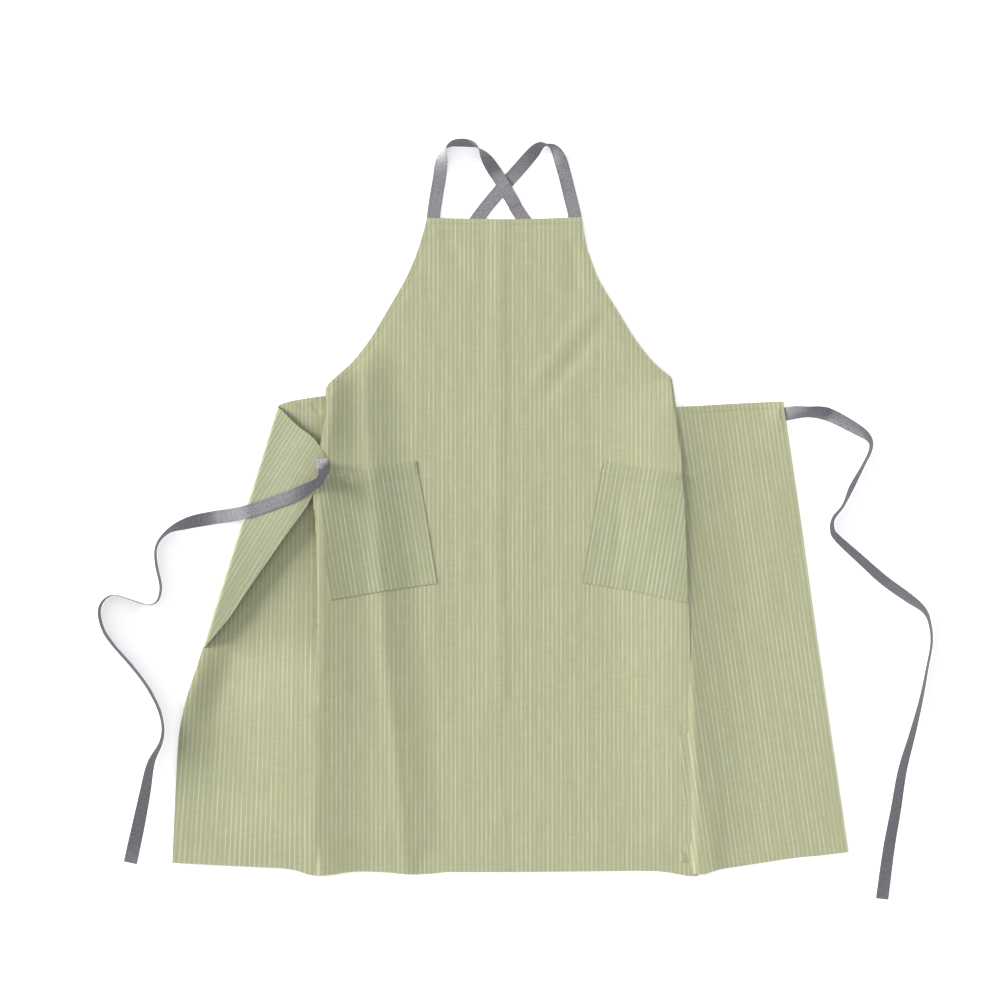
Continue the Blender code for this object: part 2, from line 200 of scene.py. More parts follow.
def striped_cloth(name, ground, line, cool, contrast=1.0):
    """Sage cotton with fine pale stripes woven into its warp."""
    nodes = Nodes(name)
    grain = nodes.grain()
    height, slubs, weft = weave(nodes, grain, 0.00036)
    across = nodes.add("ShaderNodeSeparateXYZ", {"Vector": grain}).outputs[0]
    wander = nodes.noise(nodes.stretch(grain, (1.0, 0.12, 1.0)), 70.0)
    shifted = nodes.math("MULTIPLY_ADD", nodes.math("SUBTRACT", wander, 0.5), 0.0007, across)
    phase = nodes.math("FRACT", nodes.math("MULTIPLY", shifted, 1 / STRIPE_PITCH))
    offset = nodes.math("ABSOLUTE", nodes.math("SUBTRACT", phase, 0.5))
    half = STRIPE_LINE / STRIPE_PITCH / 2
    stripe = nodes.ramp(offset, half * 0.45, half * 1.55, 1.0, 0.0)
    gaps = nodes.noise(nodes.stretch(grain, (1.0, 0.10, 1.0)), 330.0, 3.0, 0.6)
    broken = nodes.ramp(gaps, 0.28, 0.62, 0.50, 1.0)
    each = nodes.noise(nodes.stretch(grain, (1.0, 0.05, 1.0)), 90.0, 1.0)
    each = nodes.math("MULTIPLY", nodes.ramp(each, 0.36, 0.60, 0.45, 1.0), contrast)
    stripe = nodes.math("MULTIPLY", nodes.math("MULTIPLY", stripe, broken), each)
    patches = nodes.ramp(nodes.noise(grain, 6.0, 3.0), 0.3, 0.7)
    tone = nodes.mix(nodes.math("MULTIPLY", patches, 0.5), ground, cool)
    shade = nodes.ramp(nodes.math("ADD", slubs, weft), 0.7, 1.3, 0.90, 1.08)
    grey = nodes.add("ShaderNodeCombineXYZ", {0: shade, 1: shade, 2: shade}).outputs[0]
    tone = nodes.mix(1.0, tone, grey, "MULTIPLY")
    colour = nodes.mix(stripe, tone, line)
    nodes.set(nodes.shader.inputs["Base Color"], colour)
    raised = nodes.math("MULTIPLY_ADD", stripe, 0.25, height)
    finish_cloth(nodes, raised, nodes.ramp(slubs, 0.3, 0.7, 0.78, 0.92), WEAVE_BUMP)
    return nodes.material


def chambray(name, dark, pale):
    """Grey chambray: dark and pale threads woven together, which leaves a fine fleck."""
    nodes = Nodes(name)
    grain = nodes.grain()
    height, slubs, weft = weave(nodes, grain, 0.00030)
    fleck = nodes.noise(nodes.stretch(grain, (1.0, 0.35, 1.0)), 1100.0, 3.0, 0.6)
    cloudy = nodes.noise(grain, 260.0, 2.0)
    amount = nodes.math("ADD", nodes.math("MULTIPLY", fleck, 0.8), nodes.math("MULTIPLY", cloudy, 0.2))
    amount = nodes.math("MULTIPLY_ADD", weft, 0.25, nodes.math("MULTIPLY", amount, 0.75))
    amount = nodes.ramp(amount, 0.36, 0.64)
    nodes.set(nodes.shader.inputs["Base Color"], nodes.mix(amount, dark, pale))
    finish_cloth(nodes, height, nodes.ramp(slubs, 0.3, 0.7, 0.74, 0.9), WEAVE_BUMP)
    return nodes.material


def thread(name, dark, pale):
    nodes = Nodes(name)
    place = nodes.add("ShaderNodeTexCoord").outputs["Object"]
    twist = nodes.noise(place, 900.0, 2.0)
    nodes.set(nodes.shader.inputs["Base Color"], nodes.mix(nodes.ramp(twist, 0.35, 0.65), dark, pale))
    finish_cloth(nodes, twist, nodes.ramp(twist, 0.3, 0.7, 0.55, 0.7), 0.00005)
    return nodes.material


def make_materials():
    ground, line, cool = (0.318, 0.322, 0.190), (0.440, 0.446, 0.322), (0.300, 0.318, 0.196)
    return {
        "front": striped_cloth("striped sage cotton", ground, line, cool),
        # Reverse colours are about 0.85 of the face's: partly the duller back of the cloth, partly painted
        # shade that offsets the extra light on the turned-back corner, which tilts toward the sun
        "reverse": striped_cloth("striped sage cotton, reverse", (0.272, 0.284, 0.176), (0.400, 0.405, 0.305),
                                 (0.258, 0.278, 0.179), 0.75),
        "pocket": striped_cloth("striped sage pocket cotton", (0.288, 0.299, 0.176), (0.425, 0.435, 0.325),
                                (0.276, 0.296, 0.182)),
        "tape": chambray("grey chambray", (0.122, 0.114, 0.128), (0.262, 0.252, 0.276)),
        "sage thread": thread("sage thread", (0.275, 0.280, 0.165), (0.350, 0.355, 0.230)),
        "grey thread": thread("grey thread", (0.165, 0.155, 0.170), (0.260, 0.250, 0.270)),
    }


# Curves and outlines, as arrays of points

def smooth(points, step):
    """Points about step apart on a Catmull-Rom curve through points, which may have any number of values."""
    rows = np.array(points, float)
    rows = np.vstack([2 * rows[0] - rows[1], rows, 2 * rows[-1] - rows[-2]])
    curve = []
    for before, start, end, after in zip(rows, rows[1:], rows[2:], rows[3:]):
        count = max(1, round(float(np.linalg.norm((end - start)[:2])) / step))
        leave, arrive = (end - before) * 0.5, (after - start) * 0.5
        for t in np.arange(count) / count:
            curve.append((2 * t**3 - 3 * t**2 + 1) * start + (t**3 - 2 * t**2 + t) * leave
                         + (3 * t**2 - 2 * t**3) * end + (t**3 - t**2) * arrive)
    return np.array([*curve, rows[-2]])


def spaced(line, step):
    """The same line with points step apart, its corners kept."""
    made = [line[0]]
    for start, end in zip(line, line[1:]):
        count = max(1, math.ceil(float(np.linalg.norm(end - start)) / step))
        made += [start + (end - start) * (index / count) for index in range(1, count + 1)]
    return np.array(made)


def nearest(points, line):
    """For each point: its signed distance from the line, positive to the right of travel, the length along
    the line of its nearest place, and the line's other values there."""
    line = np.asarray(line, float)
    start, step = line[:-1], line[1:] - line[:-1]
    lengths = np.linalg.norm(step[:, :2], axis=1)
    before = np.concatenate([[0], np.cumsum(lengths)])[:-1]
    signed, along, values = [], [], []
    for block in np.array_split(points, max(1, len(points) // 3000 + 1)):
        away = block[:, None, :2] - start[None, :, :2]
        t = np.clip((away * step[None, :, :2]).sum(2) / (lengths**2)[None], 0, 1)
        gap = away - t[..., None] * step[None, :, :2]
        best = (gap**2).sum(2).argmin(1)
        rows = np.arange(len(block))
        gap, t = gap[rows, best], t[rows, best]
        side = gap[:, 0] * step[best, 1] - gap[:, 1] * step[best, 0]
        signed.append(np.copysign(np.linalg.norm(gap, axis=1), side))
        along.append(before[best] + t * lengths[best])
        values.append(start[best, 2:] + t[:, None] * step[best, 2:])
    return np.concatenate(signed), np.concatenate(along), np.concatenate(values)


def inside(points, outline):
    found = np.zeros(len(points), bool)
    x, y = points[:, 0], points[:, 1]
    for (x0, y0), (x1, y1) in zip(outline, np.roll(outline, -1, axis=0)):
        if y0 == y1:
            continue
        crosses = ((y0 > y) != (y1 > y)) & (x < (x1 - x0) * (y - y0) / (y1 - y0) + x0)
        found ^= crosses
    return found


def ease(value, low, high):
    """0 at low and 1 at high, smooth between them."""
    t = np.clip((np.asarray(value, float) - low) / (high - low), 0, 1)
    return t * t * (3 - 2 * t)


def ripples(points, size, seed):
    """Soft random unevenness from about -1 to 1, with features of this size."""
    return np.array([noise.noise(Vector((x / size, y / size, seed))) for x, y in points[:, :2]])


# Sheets

def add_mesh(name, points, faces, materials, grain=None, indices=None):
    mesh = bpy.data.meshes.new(name)
    mesh.from_pydata([tuple(point) for point in points], [], [tuple(int(i) for i in face) for face in faces])
    for material in materials:
        mesh.materials.append(material)
    if grain is not None:
        attribute = mesh.attributes.new("grain", "FLOAT_VECTOR", "POINT")
        rows = np.zeros((len(points), 3), np.float32)
        rows[:, : grain.shape[1]] = grain
        attribute.data.foreach_set("vector", rows.ravel())
    if indices is not None:
        mesh.polygons.foreach_set("material_index", np.asarray(indices, np.int32))
    mesh.shade_smooth()
    mesh.set_sharp_from_angle(angle=math.radians(50))
    mesh.validate()
    obj = bpy.data.objects.new(name, mesh)
    bpy.context.scene.collection.objects.link(obj)
    return obj


def cut_points(outline, rings, grid):
    """The points of a sheet with this outline: its edge, rings inside it, and a staggered grid."""
    edge = spaced(np.vstack([outline, outline[:1]]), grid)[:-1]
    following, previous = np.roll(edge, -1, axis=0), np.roll(edge, 1, axis=0)
    along = following - previous
    along /= np.maximum(np.linalg.norm(along, axis=1), 1e-9)[:, None]
    inward = np.stack([-along[:, 1], along[:, 0]], axis=1)
    closed = np.vstack([outline, outline[:1]])
    kept = []
    for ring in rings:
        line = edge + inward * ring
        gap = np.abs(nearest(line, closed)[0])
        kept.append(line[inside(line, outline) & (gap > ring * 0.93)])
    low, high = outline.min(0), outline.max(0)
    rows = np.arange(low[1], high[1], grid * 0.866)
    columns = np.arange(low[0], high[0], grid)
    field = np.array([(x + (index % 2) * grid / 2, y) for index, y in enumerate(rows) for x in columns])
    field = field[inside(field, outline)]
    field = field[np.abs(nearest(field, closed)[0]) > (rings[-1] if rings else 0) + grid * 0.5]
    return edge, np.vstack([*kept, field])


def triangulate(outline, rings, grid):
    edge, inner = cut_points(outline, rings, grid)
    points = np.vstack([edge, inner])
    count = len(edge)
    loop = [(index, (index + 1) % count) for index in range(count)]
    made = geometry.delaunay_2d_cdt([Vector(p) for p in points], loop, [], 1, 1e-7)
    flat = np.array([tuple(p) for p in made[0]])
    return flat, [face for face in made[2] if len(face) == 3]


def vertex_normals(points, faces):
    corners = points[np.asarray(faces)]
    normals = np.cross(corners[:, 1] - corners[:, 0], corners[:, 2] - corners[:, 0])
    total = np.zeros_like(points)
    for column in range(3):
        np.add.at(total, np.asarray(faces)[:, column], normals)
    return total / np.maximum(np.linalg.norm(total, axis=1), 1e-12)[:, None]


def both_sides(faces, count):
    """The faces of a closed body: these upper faces, the lower ones under them, and the rim between them.
    The lower points follow the upper ones, of which there are count."""
    edges = {(int(a), int(b)): None for face in faces for a, b in zip(face, np.roll(face, -1))}
    rim = [(b, a, a + count, b + count) for a, b in edges if (b, a) not in edges]
    return [*faces, *(np.asarray(faces)[:, ::-1] + count), *rim]


def sheet(name, outline, place, grain, materials, rings=(0.0008, 0.002, 0.004), grid=GRID, thickness=None):
    """A cloth piece. outline is its flat cut, counter-clockwise; place maps flat points to their places in
    space, on the cloth's upper side; grain maps them to the cloth's own coordinates."""
    outline = np.asarray(outline, float)
    flat, faces = triangulate(outline, rings, grid)
    upper = place(flat)
    faces = np.array(faces)
    normals = vertex_normals(upper, faces)
    ply = PLY if thickness is None else thickness(flat)[:, None]
    lower = upper - normals * ply
    every = both_sides(faces, len(upper))
    rim = len(every) - 2 * len(faces)
    marks = [0] * len(faces) + [len(materials) - 1] * len(faces) + [0] * rim
    own = grain(flat)
    obj = add_mesh(name, np.vstack([upper, lower]), every, materials, np.vstack([own, own]), marks)
    obj["cut_area"] = float(0.5 * abs(doubled_area(outline)))
    return obj


def plain_grain(points):
    """The grain of a cloth that is cut straight up the apron."""
    return points


def turned_grain(angle):
    """The grain of a cloth whose warp leans by this angle."""
    c, s = math.cos(angle), math.sin(angle)

    def grain(points):
        return np.column_stack([points[:, 0] * c + points[:, 1] * s, points[:, 1] * c - points[:, 0] * s])
    return grain


def doubled_area(outline):
    """Twice the area inside an outline, negative where it runs clockwise."""
    return np.cross(outline, np.roll(outline, -1, axis=0)).sum()


def counter_clockwise(outline):
    outline = np.array(outline)
    return outline if doubled_area(outline) > 0 else outline[::-1]


# Stitches

# A stitch's rings: how far along it, size, and height in its own radius. Its ends dip into the cloth
STITCH_RINGS = ((-0.5, 0.25, -0.6), (-0.28, 1.0, 0.35), (0.28, 1.0, 0.35), (0.5, 0.25, -0.6))


def stitch_rows(lines, pitch=0.0030, length=0.0021, radius=0.00017):
    """Closed little bodies, one for each stitch, along lines of 3-D points with the surface's normal."""
    points, faces = [], []
    for line in lines:
        line = np.asarray(line, float)
        lengths = np.linalg.norm(np.diff(line[:, :3], axis=0), axis=1)
        at = np.concatenate([[0], np.cumsum(lengths)])
        starts = np.arange(pitch / 2, at[-1] - pitch / 2, pitch)
        middle = np.stack([np.interp(starts, at, line[:, k]) for k in range(6)], axis=1)
        ahead = np.stack([np.interp(starts + pitch / 4, at, line[:, k]) for k in range(3)], axis=1)
        behind = np.stack([np.interp(starts - pitch / 4, at, line[:, k]) for k in range(3)], axis=1)
        for centre, front, back in zip(middle, ahead, behind):
            along = front - back
            along /= max(np.linalg.norm(along), 1e-9)
            up = centre[3:] / max(np.linalg.norm(centre[3:]), 1e-9)
            side = np.cross(up, along)
            first = len(points)
            for reach, size, lift in STITCH_RINGS:
                core = centre[:3] + along * (reach * length) + up * (lift * radius)
                for turn in range(6):
                    angle = math.radians(60 * turn)
                    ring = side * math.cos(angle) + up * math.sin(angle)
                    points.append(core + ring * (radius * size))
            faces.append([first + k for k in range(5, -1, -1)])
            faces.append([first + 18 + k for k in range(6)])
            for row in range(3):
                for k in range(6):
                    a, b = first + row * 6 + k, first + row * 6 + (k + 1) % 6
                    faces.append([a, b, b + 6, a + 6])
    return np.array(points), faces


def stitching(name, lines, materials):
    points, faces = stitch_rows(lines)
    piece = add_mesh(name, points, faces, [materials["sage thread"]])
    return piece


def on_surface(flat_line, place, lift=0.00002):
    """A line of flat points as places and normals on a sheet's upper side."""
    flat_line = spaced(np.asarray(flat_line, float), 0.004)
    e = 0.0005
    here, east, north = (place(flat_line + np.array(step)) for step in ((0, 0), (e, 0), (0, e)))
    normals = np.cross(east - here, north - here)
    normals /= np.maximum(np.linalg.norm(normals, axis=1), 1e-12)[:, None]
    return np.hstack([here + normals * lift, normals])


def beside(line, offset):
    """A line moved sideways by offset, positive to its right."""
    line = np.asarray(line, float)
    along = np.gradient(line, axis=0)
    along /= np.maximum(np.linalg.norm(along, axis=1), 1e-9)[:, None]
    return line + np.stack([along[:, 1], -along[:, 0]], axis=1) * offset


def part_line(line, low, high):
    """The share of a line from low to high of its length."""
    line = spaced(np.asarray(line, float), 0.003)
    count = len(line) - 1
    return line[round(low * count): round(high * count) + 1]


# Outlines of the front and the sides, in the apron's frame

LEFT_ARMHOLE = [(-0.125, 0.435), (-0.131, 0.412), (-0.142, 0.378), (-0.158, 0.342), (-0.184, 0.297),
                (-0.211, 0.252), (-0.236, 0.220), (-0.256, 0.201), (-0.272, 0.186)]
RIGHT_ARMHOLE = [(0.107, 0.436), (0.116, 0.386), (0.133, 0.342), (0.160, 0.297), (0.188, 0.252),
                 (0.215, 0.218), (0.241, 0.196)]
LEFT_EDGE = [(-0.277, 0.177), (-0.278, 0.138), (-0.284, 0.102), (-0.293, 0.045), (-0.296, 0.021),
             (-0.292, -0.026), (-0.2915, -0.076), (-0.289, -0.198), (-0.2885, -0.300)]
RIGHT_EDGE = [(0.2425, 0.192), (0.248, 0.152), (0.255, 0.098), (0.260, 0.051), (0.269, -0.138),
              (0.275, -0.300), (0.280, -0.408), (0.281, -0.552)]
SEAM = [(-0.0125, 0.4330), (-0.0160, 0.012), (-0.0120, -0.303)]
SLIT = [(-0.0080, -0.428), (0.0010, -0.510), (0.0020, -0.546)]
LEFT_HEM = [(-0.507, -0.532), (-0.445, -0.535), (-0.382, -0.538), (-0.340, -0.540), (-0.322, -0.543),
            (-0.298, -0.5505), (-0.272, -0.5500), (-0.233, -0.545), (-0.187, -0.546), (-0.158, -0.549),
            (-0.127, -0.549), (-0.098, -0.546)]
RIGHT_HEM = [(0.194, -0.544), (0.226, -0.545), (0.250, -0.549), (0.266, -0.552)]
SIDE_TOP = [(-0.2825, 0.168), (-0.309, 0.164), (-0.328, 0.1605), (-0.340, 0.157), (-0.349, 0.153)]
SIDE_BACK = [(-0.461, -0.210), (-0.470, -0.240), (-0.482, -0.276), (-0.494, -0.326), (-0.499, -0.374),
             (-0.505, -0.492), (-0.507, -0.532)]

# Soft folds that cross the front: x, y, height of the crest, and the width over which it falls to the right
FOLD_TOP_LEFT = [(-0.2120, 0.250, 0.0016, 0.050), (-0.2160, 0.200, 0.0042, 0.054),
                 (-0.2166, 0.160, 0.0052, 0.060), (-0.2135, 0.102, 0.0056, 0.062),
                 (-0.2090, 0.057, 0.0056, 0.062), (-0.2030, -0.003, 0.0056, 0.062),
                 (-0.1995, -0.063, 0.0056, 0.062), (-0.1940, -0.138, 0.0054, 0.062),
                 (-0.1895, -0.213, 0.0052, 0.062), (-0.1820, -0.288, 0.0046, 0.062),
                 (-0.1745, -0.363, 0.0042, 0.062), (-0.1670, -0.438, 0.0040, 0.064),
                 (-0.1600, -0.513, 0.0034, 0.066), (-0.1560, -0.560, 0.0028, 0.066)]
FOLD_LEFT_SIDE = [(-0.2660, 0.186, 0.0050, 0.044), (-0.2700, 0.138, 0.0066, 0.050),
                  (-0.2740, 0.102, 0.0068, 0.056), (-0.2810, 0.045, 0.0066, 0.066),
                  (-0.2830, -0.003, 0.0064, 0.072), (-0.2835, -0.063, 0.0064, 0.078),
                  (-0.2840, -0.138, 0.0062, 0.080), (-0.2845, -0.213, 0.0058, 0.082),
                  (-0.2880, -0.288, 0.0054, 0.086), (-0.2900, -0.363, 0.0050, 0.088),
                  (-0.2930, -0.438, 0.0046, 0.090), (-0.2960, -0.513, 0.0040, 0.092),
                  (-0.2980, -0.560, 0.0036, 0.092)]
RIGHT_CREST = [(0.232, 0.192, 0.0006), (0.238, 0.152, 0.0036), (0.245, 0.098, 0.0046),
               (0.250, 0.051, 0.0048), (0.258, -0.138, 0.0046), (0.265, -0.300, 0.0040),
               (0.270, -0.408, 0.0030), (0.272, -0.560, 0.0012)]
STEP_SHARE, CREST_SHARE = 0.86, 0.85   # of the heights above, which the cloth's own stiffness takes down
LIP_WIDTH = 0.011
MERGE_Y = (-0.300, -0.180)   # below this the left side panel and the front are one smooth cloth
PRESSED_Y, PRESSED_DEPTH = 0.066, 0.0022   # where the turned-back corner presses on the front's edge


def fall(distance, width):
    """1 before a crest, then a drop that is steepest at a third of its width and runs out slowly."""
    t = np.clip(distance / width, 0, 1)
    t = t ** 0.82
    return 1 - t * t * (3 - 2 * t)


def step_height(points, crest, lip=0.0004):
    """A soft step: high to the left of a crest, a little higher on it, and running out to its right."""
    signed, _, values = nearest(points, smooth(crest, 0.02))
    beyond = -signed
    height = values[:, 0] * fall(beyond, values[:, 1])
    return height + lip * np.exp(-(beyond / LIP_WIDTH) ** 2) * ease(values[:, 0], 0.0, 0.003)


def crease(points, line, depth, width):
    """A soft valley or, with a negative depth, a ridge along a line that fades at its two ends."""
    line = smooth(line, 0.01)
    signed, along, _ = nearest(points, line)
    total = np.linalg.norm(np.diff(line, axis=0), axis=1).sum()
    fade = ease(along, 0, total * 0.3) * (1 - ease(along, total * 0.7, total))
    return -depth * fade * np.exp(-(signed / width) ** 2)


CREASES = [
    ([(0.137, 0.315), (0.080, 0.245), (0.010, 0.160)], -0.0004, 0.011),
    ([(0.152, 0.295), (0.100, 0.228), (0.035, 0.150)], 0.0005, 0.012),
    ([(-0.100, 0.425), (-0.090, 0.395), (-0.075, 0.350)], 0.0004, 0.013),
    ([(0.090, 0.415), (0.096, 0.370), (0.100, 0.305)], 0.0005, 0.009),
    ([(0.166, 0.070), (0.163, -0.020), (0.157, -0.125)], 0.0004, 0.009),
    ([(0.050, 0.060), (0.048, -0.090), (0.040, -0.200)], 0.0003, 0.012),
    ([(0.095, -0.520), (0.075, -0.400), (0.045, -0.300)], 0.0003, 0.016),
    ([(-0.095, 0.060), (-0.085, -0.160), (-0.080, -0.360)], 0.0003, 0.018),
]


def seam_relief(points):
    """The centre seam's plies lie to its left, so the cloth steps down softly to its right."""
    beyond = points[:, 0] - np.interp(points[:, 1], [-0.303, 0.012, 0.433], [-0.0120, -0.0160, -0.0125])
    stepped = 0.0005 * np.where(beyond < 0, ease(beyond, -0.030, 0.0), 1 - ease(beyond, 0.0, 0.015))
    return stepped * ease(points[:, 1], -0.300, -0.280)


def front_relief(points):
    """Height of the front's cloth over the surface, before its edges."""
    left_step = step_height(points, FOLD_TOP_LEFT) * ease(points[:, 1], 0.275, 0.205)
    side_step = step_height(points, FOLD_LEFT_SIDE) * ease(points[:, 1], 0.26, 0.19)
    base = BASE - 0.0020 * ease(points[:, 1], 0.0, -0.35)
    height = base + STEP_SHARE * (left_step + side_step)
    signed, _, values = nearest(points, smooth(RIGHT_CREST, 0.02))
    height += CREST_SHARE * values[:, 0] * ease(-signed, -0.120, 0.004)
    for line, depth, width in CREASES:
        height += crease(points, line, depth, width)
    height += 0.00016 * ripples(points, 0.055, 3.1) + 0.00007 * ripples(points, 0.022, 9.4)
    edge = np.interp(points[:, 1], [-0.003, 0.045, 0.102, 0.138], [-0.293, -0.290, -0.281, -0.276])
    across = np.clip(points[:, 0] - edge, 0, None)
    pressed = np.exp(-((points[:, 1] - PRESSED_Y) / 0.036) ** 2 - (across / 0.034) ** 2)
    return height + seam_relief(points) - PRESSED_DEPTH * pressed


BIB_TOP = [(-0.125, 0.435), (-0.060, 0.4338), (-0.010, 0.4330), (0.050, 0.4340), (0.107, 0.436)]
TOP_LINE = smooth(BIB_TOP, 0.02)
BIB_LEFT = TOP_LINE[TOP_LINE[:, 0] < SEAM[0][0]]
BIB_RIGHT = TOP_LINE[TOP_LINE[:, 0] > SEAM[0][0]]
HEM_LINE = np.vstack([smooth(LEFT_HEM, 0.01), [(-0.010, -0.546)], smooth(RIGHT_HEM, 0.01), [(0.281, -0.552)]])


def rolled(signed, width, drop):
    """A folded edge: how far its last width is drawn outward, and how far it comes down there."""
    turn = np.clip(1 - np.abs(signed) / width, 0, 1) * math.pi / 2
    drawn = np.abs(signed) - width * (1 - np.sin(turn))
    return np.where(turn > 0, drawn, 0.0), drop * (1 - np.cos(turn))


HEM_DROP, HEM_LEVEL = 0.0016, 0.0012   # the cloth comes down by up to this at its hem, to this height


def by_hem(points):
    """1 at the hem, and 0 well above it."""
    return 1 - ease(np.abs(nearest(points, HEM_LINE)[0]), 0.0, 0.060)


def front_height(points):
    height = front_relief(points)
    height -= by_hem(points) * np.minimum(HEM_DROP, height - HEM_LEVEL)
    lines = (TOP_LINE, smooth(LEFT_ARMHOLE, 0.02), smooth(RIGHT_ARMHOLE, 0.02))
    gap = np.min([np.abs(nearest(points, line)[0]) for line in lines], axis=0)
    return height - 0.0003 * (1 - ease(gap, 0.0, 0.020))


# Left half of the front and the left side panel: one cloth, parted along the side fold's upper stretch

LEFT_EDGE_LINE = smooth(LEFT_EDGE, 0.008)
SLIT_GAP = 0.0003
LEAN_START, LEAN_RATE, LEAN_PIVOT = -0.300, 0.36, -0.18   # x, lean for each metre beyond it, and y


def side_height(points):
    """Height of the left side panel, which lies on the surface with its back edge raised below the corner."""
    toward = np.clip((points[:, 0] + 0.500) / 0.220, 0, 1)
    height = 0.0044 + 0.0010 * toward
    height += 0.00020 * ripples(points, 0.050, 5.7)
    inside_edge = np.abs(nearest(points, smooth(SIDE_BACK, 0.02))[0])
    raised = ease(points[:, 1], -0.185, -0.215) * ease(points[:, 1], -0.430, -0.230)
    return height + 0.0078 * raised * fall(inside_edge - 0.004, 0.050)


def side_wrinkles(points):
    """Small creases where the side panel comes out from under the front."""
    lines = [
        ([(-0.334, 0.148), (-0.310, 0.128), (-0.292, 0.118)], -0.0007, 0.0040),
        ([(-0.322, 0.156), (-0.305, 0.146), (-0.288, 0.142)], 0.0009, 0.0030),
        ([(-0.300, 0.160), (-0.292, 0.150), (-0.286, 0.136)], 0.0007, 0.0030),
    ]
    return sum(crease(points, line, depth, width) for line, depth, width in lines)


def left_place(points):
    """Places of the left cloth. The side panel slips under the front's edge."""
    signed, _, _ = nearest(points, LEFT_EDGE_LINE)
    is_side = (signed > 0) & (points[:, 0] < -0.270)
    merge = ease(points[:, 1], *MERGE_Y)
    front = front_height(points)
    beyond = ease(points[:, 0], -0.296, -0.450)
    joined = front * (1 - beyond) + side_height(points) * beyond
    lying = side_height(points) * 0.55 + 0.0006 + side_wrinkles(points)
    under = np.maximum(lying - 0.0016 * np.exp(-np.abs(signed) / 0.020), 0.0008)
    joined -= by_hem(points) * np.minimum(HEM_DROP, np.maximum(joined - HEM_LEVEL, 0))
    side = joined * (1 - merge) + under * merge
    made = np.column_stack([points, np.where(is_side, side, front)])
    slip = 0.006 * merge * np.clip(1 - np.abs(signed) / 0.022, 0, 1) ** 2
    made[is_side, 0] += slip[is_side]
    return made


def lean_grain(points):
    """The side panel's stripes lean a little more the further out they are."""
    lean = LEAN_RATE * np.clip(LEAN_START - points[:, 0], 0, None)
    return np.column_stack([points[:, 0] - lean * (points[:, 1] - LEAN_PIVOT), points[:, 1]])


def seam_line():
    """The centre seam from the bib down, with the slit below it."""
    return np.vstack([smooth(SEAM, 0.03), smooth(SLIT, 0.03)])


def hem_thickness(lines):
    """A sheet's thickness, which is more within each line's own depth."""
    def thickness(points):
        extra = np.zeros(len(points))
        for line, depth in lines:
            gap = np.abs(nearest(points, line)[0])
            extra = np.maximum(extra, 1 - ease(gap, depth - 0.0006, depth + 0.0006))
        return PLY + HEM_EXTRA * extra
    return thickness


def hem_lift(place, lines):
    """The same places with each hem's turned plies standing proud of the cloth beside it."""
    thickness = hem_thickness(lines)

    def lifted(points):
        made = place(points)
        made[:, 2] += (thickness(points) - PLY) * 0.15
        return made
    return lifted


FRONT_HEMS = [(TOP_LINE, BIB_HEM), (HEM_LINE, HEM_DEPTH)]
HEM_RINGS = (0.0007, 0.0018, 0.0035, 0.0060, 0.0069, 0.0081, 0.0105, 0.0124, 0.0136, 0.0160)
left_surface = hem_lift(left_place, FRONT_HEMS)


def body_panel(name, outline, surface, grain, hems, nodes, materials):
    """One of the apron's big cloths, laid flat, which takes the place of these nodes."""
    piece = sheet(name, outline, surface, grain, [materials["front"], materials["reverse"]], HEM_RINGS,
                  thickness=hem_thickness(hems))
    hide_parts(*nodes)
    return piece


def make_front_left(materials):
    side_of_slit = LEFT_EDGE_LINE[::-1][1:-1] - np.array([SLIT_GAP, 0])
    outline = np.vstack([
        BIB_LEFT[::-1], smooth(LEFT_ARMHOLE, 0.01)[1:], LEFT_EDGE_LINE, side_of_slit, smooth(SIDE_TOP, 0.01),
        smooth(SIDE_BACK, 0.01), smooth(LEFT_HEM, 0.008)[1:], seam_line()[::-1],
    ])
    piece = body_panel("front_and_side_left", outline, left_surface, lean_grain, FRONT_HEMS,
                       ("front_panel_left", "side_panel_left"), materials)
    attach(piece, "apron")


# Right half of the front

RIGHT_EDGE_LINE = smooth(RIGHT_EDGE, 0.01)


def right_place(points):
    signed, _, _ = nearest(points, RIGHT_EDGE_LINE)
    drawn, down = rolled(signed, 0.0026, 0.0018)
    seam = np.abs(points[:, 0] + 0.006)
    slit = ease(points[:, 1], -0.300, -0.340)
    height = front_height(points) - down - 0.0007 * np.exp(-seam / 0.010) * slit
    return np.column_stack([points[:, 0] + drawn, points[:, 1], np.maximum(height, 0.0014)])


right_surface = hem_lift(right_place, FRONT_HEMS)


def make_front_right(materials):
    outline = np.vstack([
        seam_line(), smooth(RIGHT_HEM, 0.01), RIGHT_EDGE_LINE[::-1], smooth(RIGHT_ARMHOLE, 0.01)[::-1],
        BIB_RIGHT[::-1][1:],
    ])
    piece = body_panel("front_right", outline, right_surface, plain_grain, FRONT_HEMS,
                       ("front_panel_right",), materials)
    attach(piece, "apron")


# Right side panel

SIDE_FOLD = np.array([(0.262, 0.153), (0.285, -0.552)])
PANEL_TOP = [(0.2360, 0.1505), (0.300, 0.1545), (0.360, 0.1580), (0.409, 0.160)]
PANEL_BACK = [(0.409, 0.160), (0.433, -0.002), (0.455, -0.159), (0.482, -0.345), (0.507, -0.516)]
PANEL_HEM = [(0.507, -0.516), (0.466, -0.521), (0.425, -0.525), (0.352, -0.536), (0.312, -0.542),
             (0.292, -0.5485), (0.274, -0.5490)]
PANEL_HEMS = [(smooth(PANEL_TOP, 0.02), EDGE_HEM), (smooth(PANEL_BACK, 0.03), EDGE_HEM),
              (smooth(PANEL_HEM, 0.02), HEM_DEPTH)]
PANEL_LEAN = math.radians(8.3)


